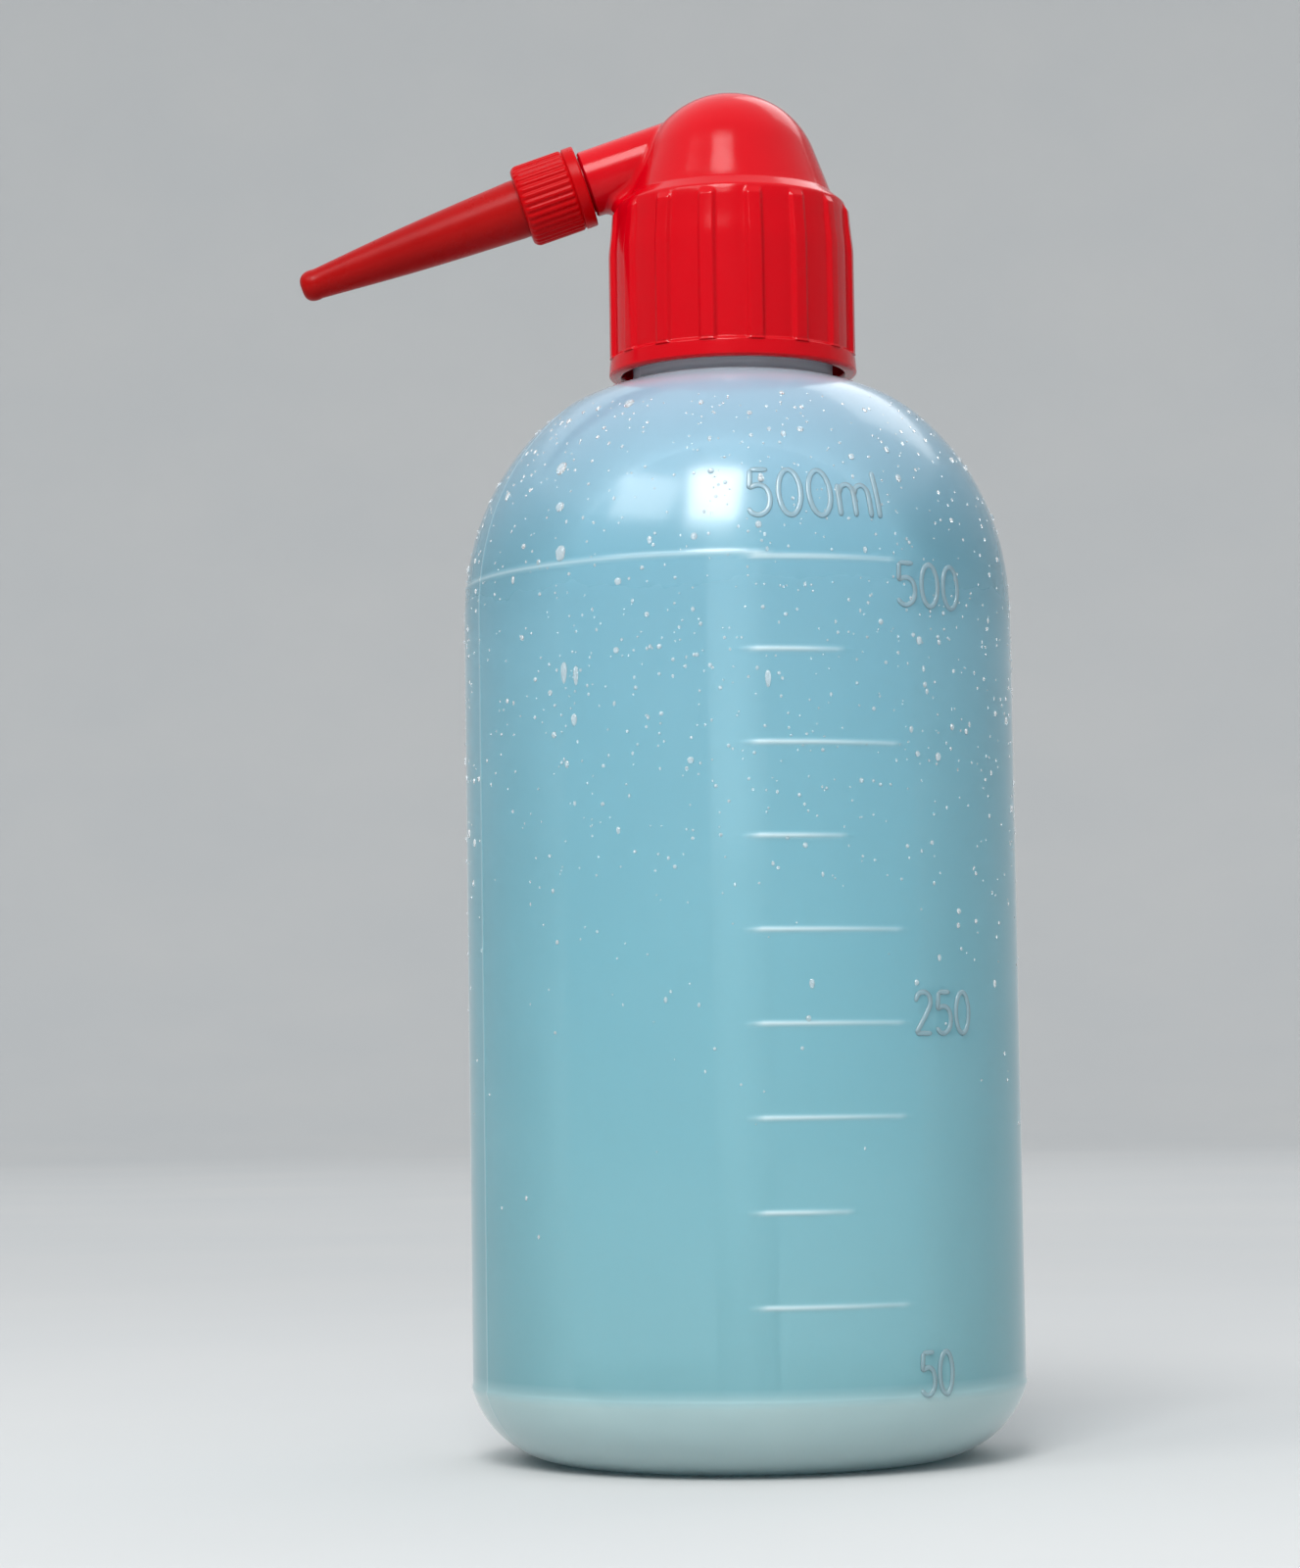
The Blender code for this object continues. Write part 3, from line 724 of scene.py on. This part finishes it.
def cap_distance(point):
    """The distance from a point to the cap's outside, and the nearest direction away from it."""
    flat = np.array([math.hypot(point[0], point[1]), point[2]])
    starts = np.array(CAP_OUTLINE[:OUTSIDE_COUNT - 1])
    spans = np.array(CAP_OUTLINE[1:OUTSIDE_COUNT]) - starts
    places = np.clip(((flat - starts) * spans).sum(1) / np.maximum((spans**2).sum(1), 1e-18), 0, 1)
    offsets = flat - (starts + spans * places[:, None])
    gaps = np.linalg.norm(offsets, axis=1)
    best = int(np.argmin(gaps))
    away = offsets[best] / max(gaps[best], 1e-9)
    inside = offsets[best] @ (-spans[best][1], spans[best][0]) < 0
    outward = Vector((point[0], point[1], 0)).normalized()
    direction = outward * float(away[0]) + Vector((0, 0, float(away[1])))
    return (-gaps[best] if inside else gaps[best]), direction.normalized()


def spout_root():
    """Rings that blend the spout into the dome with a rolled fillet, one column per angle."""
    arc_steps = 7
    rings = [[] for _ in range(arc_steps + 2)]
    for turn in turns(SPOUT_COLUMNS):
        near, far = 4 * MM, 20 * MM
        for _ in range(40):
            middle = (near + far) / 2
            if cap_distance(near_spout(middle, SPOUT_RADIUS + SPOUT_FILLET, turn))[0] < SPOUT_FILLET:
                near = middle
            else:
                far = middle
        centre = near_spout(far, SPOUT_RADIUS + SPOUT_FILLET, turn)
        toward_dome = -cap_distance(centre)[1]
        toward_spout = -(SPOUT_UP * math.cos(turn) + SPOUT_SIDE * math.sin(turn))
        angle = toward_dome.angle(toward_spout)
        rings[0].append(centre + toward_dome * (SPOUT_FILLET + 0.9 * MM))
        for step, share in enumerate(shares(arc_steps, 0)):
            direction = (
                toward_dome * math.sin((1 - share) * angle) + toward_spout * math.sin(share * angle)
            ) / max(math.sin(angle), 1e-6)
            sink = 0.02 * MM if step == 0 else 0.0
            rings[step + 1].append(centre + direction * (SPOUT_FILLET + sink))
    return rings


def make_spout(shells):
    """The spout: a fillet at the dome, a plain tube, and a threaded core under the nut."""
    step = 0.12 * MM
    front = [
        (SPOUT_RADIUS, SPOUT_CORE_START - 0.25 * MM),
        (SPOUT_RADIUS - 0.25 * MM, SPOUT_CORE_START),
        (SPOUT_CORE_RADIUS + 0.1 * MM, SPOUT_CORE_START),
        (SPOUT_CORE_RADIUS, SPOUT_CORE_START + 0.1 * MM),
        *[(SPOUT_CORE_RADIUS, along) for along in np.arange(SPOUT_CORE_START + step, SPOUT_END - step, step)],
        (SPOUT_CORE_RADIUS, SPOUT_END - 0.15 * MM),
        (SPOUT_CORE_RADIUS - 0.15 * MM, SPOUT_END),
        (SPOUT_BORE_RADIUS, SPOUT_END),
        (SPOUT_BORE_RADIUS, 15 * MM),
        (0.3 * MM, 15 * MM),
    ]
    rings = spout_root()
    angles = turns(SPOUT_COLUMNS)
    for radius, along in front:
        reaches = np.full(SPOUT_COLUMNS, radius)
        if abs(radius - SPOUT_CORE_RADIUS) < 1e-6:
            ridge = helix_bump(along, angles, SPOUT_THREAD_START, NUT_THREAD)
            reaches = reaches + (SPOUT_THREAD_CREST - SPOUT_CORE_RADIUS) * ridge
        rings.append([near_spout(along, reach, turn) for reach, turn in zip(reaches.tolist(), angles)])
    first, last = shells.rings(rings)
    shells.lid(first, SPOUT_COLUMNS, flip=True)
    shells.lid(last, SPOUT_COLUMNS)


def make_cap():
    """The dome, ribbed skirt, inner thread, tube socket and spout of one moulding."""
    shells = Shells()
    shells.turned(CAP_OUTLINE[::-1], cap_angles(), cap_swell)
    socket = [
        (SOCKET_RADIUS - 0.3 * MM, SOCKET_BOTTOM, 0),
        (SOCKET_RADIUS, SOCKET_BOTTOM, 0.3),
        (SOCKET_RADIUS, CAP_TOP - 4 * MM, 0),
        (0.5 * MM, CAP_TOP - 1.5 * MM, 0),
        (0.5 * MM, TUBE_HIGH[2] + 1.0 * MM, 0),
        (TUBE_RADIUS + 0.3 * MM, TUBE_HIGH[2] + 0.3 * MM, 0.1),
        (TUBE_RADIUS + 0.3 * MM, SOCKET_BOTTOM, 0),
    ]
    shells.turned(rounded(socket, 3), turns(72))
    make_spout(shells)
    return shells.finish("cap_moulding", 42)


# Nut and jet

NUT_BACK = 21.2 * MM
NUT_FRONT = 30.5 * MM
NUT_RADIUS = 5.75 * MM
NUT_BORE_RADIUS = 5.0 * MM
NUT_THREAD_CREST = 4.2 * MM
NUT_HOLE_RADIUS = 4.4 * MM
NUT_LIP = 1.8 * MM
NUT_COLLAR = 1.6 * MM
NUT_CHAMFER = 0.6 * MM
KNURL_COUNT = 36
KNURL_DEPTH = 0.18 * MM

JET_BACK = 26.9 * MM
JET_FLANGE_RADIUS = 4.7 * MM
JET_FLANGE = 1.2 * MM
JET_ROOT_RADIUS = 4.1 * MM
JET_CONE_END = 60.8 * MM
JET_CONE_END_RADIUS = 2.1 * MM
JET_CROWN = 0.2 * MM
JET_TIP = 63.1 * MM
JET_ORIFICE_RADIUS = 0.35 * MM
JET_BORE_RADIUS = 2.9 * MM
JET_DROOP = math.radians(1.0)


def nut_outline():
    """The nut's half section, without its inside thread."""
    lip_back = NUT_FRONT - NUT_LIP
    corners = [
        (NUT_BORE_RADIUS, NUT_BACK + 1.0 * MM, 0),
        (NUT_BORE_RADIUS, NUT_BACK, 0.15),
        (NUT_RADIUS, NUT_BACK, 0.3),
        (NUT_RADIUS, NUT_BACK + NUT_COLLAR, 0.12),
        (NUT_RADIUS - 0.3 * MM, NUT_BACK + NUT_COLLAR + 0.12 * MM, 0.06),
        (NUT_RADIUS - 0.02 * MM, NUT_BACK + NUT_COLLAR + 0.45 * MM, 0.2),
        (NUT_RADIUS - 0.02 * MM, NUT_FRONT - NUT_CHAMFER, 0.4),
        (NUT_RADIUS - NUT_CHAMFER, NUT_FRONT, 0.3),
        (NUT_HOLE_RADIUS, NUT_FRONT, 0.15),
        (NUT_HOLE_RADIUS, lip_back, 0.1),
        (NUT_BORE_RADIUS, lip_back, 0.1),
        (NUT_BORE_RADIUS, lip_back - 0.5 * MM, 0),
    ]
    return finer(rounded(corners, 4), 0.45 * MM)


def make_nut():
    """The knurled nut, with its inside thread and the lip that holds the jet."""
    thread = np.arange(NUT_FRONT - NUT_LIP - 0.6 * MM, NUT_BACK + 1.05 * MM, -0.15 * MM)
    outline = nut_outline() + [(NUT_BORE_RADIUS, along) for along in thread]
    knurl_low, knurl_high = NUT_BACK + NUT_COLLAR + 0.2 * MM, NUT_FRONT - 0.1 * MM

    def swell(radius, height, number, angles):
        """What the knurls cut away and what the inside thread fills."""
        if radius > NUT_RADIUS - 0.65 * MM and knurl_low < height < knurl_high:
            reach = smooth_step(knurl_low, knurl_low + 0.35 * MM, height)
            reach = reach * (1 - smooth_step(NUT_FRONT - 0.75 * MM, knurl_high, height))
            wave = (0.5 - 0.5 * np.cos(KNURL_COUNT * angles)) ** 1.6
            return -KNURL_DEPTH * float(reach) * wave
        if abs(radius - NUT_BORE_RADIUS) < 1e-7 and height < NUT_FRONT - NUT_LIP:
            ridge = helix_bump(height, angles, SPOUT_THREAD_START + NUT_PITCH / 2, NUT_THREAD)
            return (NUT_THREAD_CREST - NUT_BORE_RADIUS) * ridge
        return 0.0

    shells = Shells()
    shells.turned(outline, np.array(turns(360)), swell, on_spout)
    return shells.finish("knurled_nut", 50)


def make_jet():
    """The tapered jet: flange, shank, a long slightly crowned cone and a rounded tip."""
    cone_start = NUT_FRONT + 1.0 * MM
    corners = [
        (JET_BORE_RADIUS, JET_BACK, 0),
        (JET_FLANGE_RADIUS, JET_BACK, 0.15),
        (JET_FLANGE_RADIUS, JET_BACK + JET_FLANGE, 0.1),
        (JET_ROOT_RADIUS, JET_BACK + JET_FLANGE, 0.1),
        (JET_ROOT_RADIUS, cone_start, 0),
    ]
    outline = rounded(corners, 3)
    for share in shares(32):
        radius = JET_ROOT_RADIUS + (JET_CONE_END_RADIUS - JET_ROOT_RADIUS) * share
        radius += JET_CROWN * math.sin(math.pi * share) ** 1.2
        outline.append((radius, cone_start + (JET_CONE_END - cone_start) * share))
    for share in shares(12):
        turn = math.pi / 2 * share
        radius = JET_CONE_END_RADIUS * math.cos(turn) ** 0.85 + JET_ORIFICE_RADIUS * 1.3 * math.sin(turn)
        outline.append((radius, JET_CONE_END + (JET_TIP - JET_CONE_END) * math.sin(turn)))
    outline += [
        (JET_ORIFICE_RADIUS, JET_TIP - 0.1 * MM),
        (JET_ORIFICE_RADIUS, JET_CONE_END),
        (JET_CONE_END_RADIUS - MM, JET_CONE_END - 3 * MM),
        (JET_BORE_RADIUS, cone_start),
    ]

    def droop(points):
        """Bend points in front of the nut down a little, and carry them to their place."""
        points[:, 0] -= np.maximum(points[:, 2] - NUT_FRONT, 0) * math.tan(JET_DROOP)
        return on_spout(points)

    shells = Shells()
    shells.turned(outline, turns(120), place=droop)
    return shells.finish("tapered_jet", 50)


# Tube and washer


def make_tube():
    """The dip tube, cut aslant at its lower end."""
    low, high, half_slant = TUBE_LOW[2], TUBE_HIGH[2], 2.5 * MM
    levels = [0.0, *np.linspace(0.06, 1.0, 36)]
    outline = [(TUBE_BORE_RADIUS, level) for level in levels[::-1]]
    outline += [(TUBE_RADIUS, level) for level in levels]

    def stretch(points):
        """Spread levels from 0 to 1 between the slanting cut and the top."""
        cut = low + half_slant * (1 + points[:, 0] / TUBE_RADIUS)
        points[:, 2] = cut + (high - cut) * points[:, 2]
        return points

    shells = Shells()
    shells.turned(outline, turns(64), place=stretch)
    return shells.finish("clear_tube", 50)


def make_washer():
    """The foam washer under the cap's shelf, its edges slightly rounded."""
    low, high = RING_LOW[2], RING_HIGH[2]
    outer = (RING_HIGH[0] - RING_LOW[0]) / 2
    inner = NECK_INNER_RADIUS
    corners = [
        (inner, (low + high) / 2, 0),
        (inner, low, 0.2),
        (outer, low, 0.2),
        (outer, high, 0.2),
        (inner, high, 0.2),
        (inner, (low + high) / 2 + 0.05 * MM, 0),
    ]
    shells = Shells()
    shells.turned(rounded(corners, 4), turns(120))
    return shells.finish("foam_washer", 50)


# Materials


class Nodes:
    """Short names for building one material's nodes."""

    def __init__(self, name):
        self.material = bpy.data.materials.new(name)
        self.material.use_nodes = True
        self.tree = self.material.node_tree
        self.shader = self.tree.nodes["Principled BSDF"]
        self.surface = self.tree.nodes["Material Output"]
        self.place = self.tree.nodes.new("ShaderNodeTexCoord").outputs["Object"]

    def fill(self, node, inputs):
        """Set each input to a value or join it to another node's output."""
        for name, value in inputs.items():
            if isinstance(value, bpy.types.NodeSocket):
                self.tree.links.new(value, node.inputs[name])
            else:
                node.inputs[name].default_value = value
        return node.outputs

    def add(self, kind, inputs):
        return self.fill(self.tree.nodes.new(kind), inputs)

    def noise(self, scale, detail, rough, stretch=(1, 1, 1)):
        stretched = self.add("ShaderNodeMapping", {"Scale": stretch, "Vector": self.place})
        inputs = {"Scale": scale, "Detail": detail, "Roughness": rough, "Vector": stretched["Vector"]}
        return self.add("ShaderNodeTexNoise", inputs)["Fac"]

    def ramp(self, value, stops):
        """A colour ramp; each stop is a position with a colour or a grey."""
        stops = [(at, (*tone, 1) if isinstance(tone, tuple) else (tone, tone, tone, 1)) for at, tone in stops]
        node = self.tree.nodes.new("ShaderNodeValToRGB")
        elements = node.color_ramp.elements
        elements[0].position, elements[0].color = stops[0]
        elements[1].position, elements[1].color = stops[-1]
        for position, colour in stops[1:-1]:
            elements.new(position).color = colour
        return self.fill(node, {"Fac": value})["Color"]

    def spread(self, value, low, high, start=0.3, end=0.7):
        """Map a noise's middle range to low..high."""
        inputs = {"From Min": start, "From Max": end, "To Min": low, "To Max": high, "Value": value}
        return self.add("ShaderNodeMapRange", inputs)["Result"]

    def noted(self, name):
        """A value noted on the mesh's points."""
        attribute = self.tree.nodes.new("ShaderNodeAttribute")
        attribute.attribute_name = name
        return attribute.outputs["Fac"]

    def bump(self, value, strength, distance, **before):
        """A bumped normal; Normal=... lays it over another one."""
        inputs = {"Strength": strength, "Distance": distance, "Height": value, **before}
        return self.add("ShaderNodeBump", inputs)["Normal"]

    def mix(self, factor, first, second):
        return self.add("ShaderNodeMixShader", {0: factor, 1: first, 2: second})[0]

    def blend(self, factor, first, second, kind="MIX"):
        """Mix two colours; 0, 6 and 7 are the node's factor and its two colour sockets."""
        node = self.tree.nodes.new("ShaderNodeMix")
        node.data_type, node.blend_type = "RGBA", kind
        return self.fill(node, {0: factor, 6: first, 7: second})[2]


def milky_surface(n, colour, roughness, normal, scattering, clearness, tint):
    """A skin of polyethylene: partly clear, partly milky and lit from both sides, under a gloss."""
    n.fill(n.shader, {"Base Color": colour, "Specular IOR Level": 0.0, "Roughness": 0.6, "Normal": normal})
    scatter = n.add("ShaderNodeBsdfTranslucent", {"Color": colour})[0]
    clear = n.add("ShaderNodeBsdfTransparent", {"Color": (*tint, 1)})[0]
    white = (1, 1, 1, 1)
    gloss = n.add("ShaderNodeBsdfGlossy", {"Color": white, "Roughness": roughness, "Normal": normal})[0]
    fresnel = n.add("ShaderNodeFresnel", {"IOR": 1.5, "Normal": normal})[0]
    milky = n.mix(scattering, n.shader.outputs[0], scatter)
    inside = n.mix(clearness, milky, clear)
    n.fill(n.surface, {"Surface": n.mix(fresnel, inside, gloss)})
    return n.material


def bottle_plastic():
    """Milky low-density polyethylene, whiter at its thick base and neck and on the raised marks. The neck is
    lightened further with painted light that stands in for the light the cap's shade keeps off it.
    """
    n = Nodes("bottle_polyethylene")
    height = n.add("ShaderNodeSeparateXYZ", {"Vector": n.place})["Z"]
    level = n.spread(height, 0.0, 1.0, 0.0, 0.17)
    tone = n.ramp(level, [
        (0.0, (0.70, 0.86, 0.86)), (0.055, (0.66, 0.86, 0.86)),
        (0.07, (0.29, 0.68, 0.75)), (0.40, (0.26, 0.66, 0.77)), (0.70, (0.29, 0.65, 0.80)),
        # The 0.865 stop is partly painted light: besides the thick neck's whiter plastic, the neck is made
        # this white to stand in for light under the cap's shade.
        (0.84, (0.50, 0.71, 0.88)), (0.865, (0.88, 0.87, 0.94)),
    ])
    cloud = n.ramp(n.noise(26, 4, 0.6, (1, 1, 0.45)), [(0.3, (0.92, 0.95, 0.96)), (0.7, 1.0)])
    colour = n.blend(n.noted("mark"), n.blend(1.0, tone, cloud, "MULTIPLY"), (0.78, 0.95, 0.98, 1))
    clear_share = n.ramp(
        level, [(0.0, 0.10), (0.055, 0.12), (0.07, 0.40), (0.70, 0.40), (0.86, 0.20), (0.88, 0.04)]
    )
    clear_share = n.blend(n.noted("mark"), clear_share, (0.10, 0.10, 0.10, 1))
    clear_share = n.blend(n.noted("inner_skin"), clear_share, (0.95, 0.95, 0.95, 1))
    satin = n.ramp(level, [(0.0, 0.26), (0.64, 0.26), (0.72, 0.06)])
    roughness = n.add("ShaderNodeMath", {0: n.spread(n.noise(60, 4, 0.6), 0.08, 0.14), 1: satin})[0]
    normal = n.bump(n.noise(45, 2, 0.5, (1, 1, 0.4)), 0.15, 0.001)
    return milky_surface(n, colour, roughness, normal, 0.45, clear_share, (0.93, 0.98, 0.99))


def figure_plastic():
    """The raised figures: the bottle's plastic, a little whiter where it is thick."""
    n = Nodes("figure_polyethylene")
    colour = n.ramp(n.noise(120, 3, 0.6), [(0.3, (0.58, 0.76, 0.82)), (0.7, (0.66, 0.82, 0.87))])
    roughness = n.spread(n.noise(200, 3, 0.6), 0.16, 0.26)
    normal = n.bump(n.noise(300, 2, 0.5), 0.1, 0.0002)
    clear_share = n.spread(n.noise(90, 2, 0.5), 0.46, 0.54)
    return milky_surface(n, colour, roughness, normal, 0.5, clear_share, (0.96, 0.985, 0.99))


def tube_plastic():
    """The dip tube's whiter polyethylene."""
    n = Nodes("tube_polyethylene")
    colour = n.ramp(n.noise(70, 3, 0.6, (1, 1, 0.2)), [(0.3, (0.94, 0.96, 0.96)), (0.7, (0.97, 0.98, 0.98))])
    roughness = n.spread(n.noise(150, 3, 0.6), 0.26, 0.38)
    normal = n.bump(n.noise(300, 3, 0.5, (1, 1, 0.1)), 0.2, 0.0003)
    clear_share = n.spread(n.noise(90, 2, 0.5), 0.04, 0.07)
    return milky_surface(n, colour, roughness, normal, 0.05, clear_share, (0.96, 0.98, 0.99))


def red_plastic(name, bright, dark, gloss, rough_low, rough_high, grain):
    """Moulded red plastic with faint flow marks, small scuffs and a fine orange-peel skin."""
    n = Nodes(name)
    peel = n.bump(n.noise(330, 2, 0.5), grain, 0.0003)
    n.fill(n.shader, {
        "Base Color": n.ramp(n.noise(55, 4, 0.6, (1, 1, 0.35)), [(0.32, dark), (0.62, bright)]),
        "Roughness": n.spread(n.noise(160, 5, 0.65), rough_low, rough_high),
        "Normal": n.bump(n.noise(1500, 3, 0.7, (1, 1, 0.25)), grain * 0.5, 0.0001, Normal=peel),
        "IOR": 1.5,
        "Specular IOR Level": gloss,
    })
    return n.material


def foam():
    """White closed-cell foam."""
    n = Nodes("washer_foam")
    n.fill(n.shader, {
        "Base Color": n.ramp(n.noise(900, 4, 0.7), [(0.3, (0.7, 0.7, 0.68)), (0.7, (0.85, 0.85, 0.83))]),
        "Roughness": n.spread(n.noise(700, 3, 0.6), 0.6, 0.85),
        "Normal": n.bump(n.noise(2200, 3, 0.6), 0.5, 0.0002),
    })
    return n.material


def water():
    """Water in small drops; their white diffuse share is painted highlight that stands in for the glints the
    drops catch.
    """
    n = Nodes("water_with_painted_glints")
    n.fill(n.shader, {
        "Base Color": (0.95, 0.99, 1.0, 1),
        # Only 0.78 of the drop is clear; the rest is white diffuse, a painted highlight for the drops'
        # glints.
        "Transmission Weight": 0.78,
        "IOR": 1.33,
        "Roughness": n.spread(n.noise(800, 2, 0.5), 0.01, 0.05),
    })
    return n.material


def floor_paper():
    """Plain pale paper."""
    n = Nodes("pale_paper")
    n.fill(n.shader, {
        "Base Color": n.ramp(n.noise(6, 3, 0.5), [(0.3, (0.51, 0.52, 0.52)), (0.7, (0.53, 0.535, 0.53))]),
        "Roughness": 0.85,
        "Specular IOR Level": 0.2,
    })
    return n.material


def dress(item, material, body, slot, *nodes):
    """Give a piece its material and its body, and hide the CAD nodes that it stands for; the slot is not
    used.
    """
    item.data.materials.append(material)
    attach(item, body)
    if nodes:
        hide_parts(*nodes)


# Stage


def make_stage():
    """A pale floor that sweeps up all round, far from the bottle."""
    inner, flat, curve, top = 0.02, 2.22, 1.6, 2.6
    outline = [(inner + (flat - inner) * share, 0.0) for share in shares(24, 0)]
    for share in shares(24):
        turn = math.pi / 2 * share
        outline.append((flat + curve * math.sin(turn), curve * (1 - math.cos(turn))))
    outline.append((flat + curve, top))
    shells = Shells()
    angles = turns(96)[::-1]  # the other way round than on a solid, so the faces look up
    first, _ = shells.rings([
        [(radius * math.cos(turn), radius * math.sin(turn), height) for turn in angles]
        for radius, height in outline
    ])
    shells.fan((0, 0, 0), first, len(angles), flip=True)
    floor = shells.finish("floor", 60)
    floor.data.materials.append(floor_paper())


SHOULDER_MIDDLE = 0.13


def area_light(name, place, width, height, radiance, target=(0, 0, SHOULDER_MIDDLE)):
    """A rectangular lamp facing a point; its power follows from its radiance."""
    data = bpy.data.lights.new(name, "AREA")
    data.shape = "RECTANGLE"
    data.size, data.size_y = width, height
    data.energy = radiance * math.pi * width * height
    lamp = link(bpy.data.objects.new(name, data))
    lamp.location = from_bottle(*place)
    lamp.rotation_euler = (Vector(target) - lamp.location).to_track_quat("-Z", "Y").to_euler()


def from_bottle(azimuth, elevation, distance):
    """A place seen from the shoulder of the bottle at an azimuth and elevation."""
    angle, rise = to_angle(azimuth), math.radians(elevation)
    level = distance * math.cos(rise)
    height = SHOULDER_MIDDLE + distance * math.sin(rise)
    return Vector((level * math.cos(angle), level * math.sin(angle), height))


def make_lights():
    """A two-pane window high in front, a fill from behind, lamps on the walls and an even sky."""
    area_light("window_right", (-10, 44, 1.1), 0.38, 0.46, 16.0)
    area_light("window_left", (-46, 41, 1.1), 0.48, 0.36, 5.0)
    area_light("window_low", (-12, 30, 1.2), 0.40, 0.16, 4.0)
    area_light("back_fill", (150, 45, 1.6), 0.9, 0.7, 1.6)
    for azimuth, radiance in ((0, 7.0), (90, 3.0), (180, 3.0), (270, 3.0)):
        wall = from_bottle(azimuth, 12, 4.0)
        area_light("wall_light_%d" % azimuth, (azimuth, 60, 1.9), 1.6, 0.8, radiance, wall)
    world = bpy.data.worlds.new("studio_sky")
    world.use_nodes = True
    world.node_tree.nodes["Background"].inputs["Color"].default_value = (0.93, 0.96, 1.0, 1)
    bpy.context.scene.world = world


def make_camera():
    """The camera at the viewing angle of the reference view; its lengths are in image pixels."""
    focal_length, frame_height, sensor = 3961, 1600, 36.0
    place, yaw, pitch, roll = (0.0006, -0.531, 0.0512), 1.39, 94.34, -0.83
    data = bpy.data.cameras.new("camera")
    data.sensor_width = sensor
    data.lens = focal_length / frame_height * sensor
    data.clip_start = 0.01
    camera = link(bpy.data.objects.new("camera", data))
    turn = Matrix.Rotation(math.radians(yaw), 4, "Z") @ Matrix.Rotation(math.radians(pitch), 4, "X")
    camera.matrix_world = Matrix.Translation(place) @ turn @ Matrix.Rotation(math.radians(roll), 4, "Z")
    bpy.context.scene.camera = camera


make_camera()
make_lights()
make_stage()
bpy.context.scene.view_settings.view_transform = "Standard"

cap_red = red_plastic("cap_polypropylene", (0.50, 0.0, 0.005), (0.45, 0.0, 0.004), 0.18, 0.12, 0.19, 0.08)
jet_red = red_plastic("jet_polyethylene", (0.33, 0.003, 0.003), (0.28, 0.002, 0.002), 0.09, 0.24, 0.34, 0.12)
nut_red = red_plastic("nut_polyethylene", (0.42, 0.0, 0.002), (0.37, 0.0, 0.002), 0.08, 0.24, 0.34, 0.10)
dress(make_bottle(), bottle_plastic(), "bottle", "bottle_plastic", "bottle")
dress(make_numerals(), figure_plastic(), "bottle", "bottle_plastic")
dress(make_drops(), water(), "bottle", "bottle_plastic")
dress(make_tube(), tube_plastic(), "riser", "tube_plastic", "dip_tube")
dress(make_cap(), cap_red, "cap", "cap_plastic", "screw_cap")
dress(make_washer(), foam(), "cap", "ring_foam", "sealing_ring")
dress(make_jet(), jet_red, "spray_jet", "jet_plastic", "jet")
dress(make_nut(), nut_red, "nut", "jet_plastic", "jet_nut")
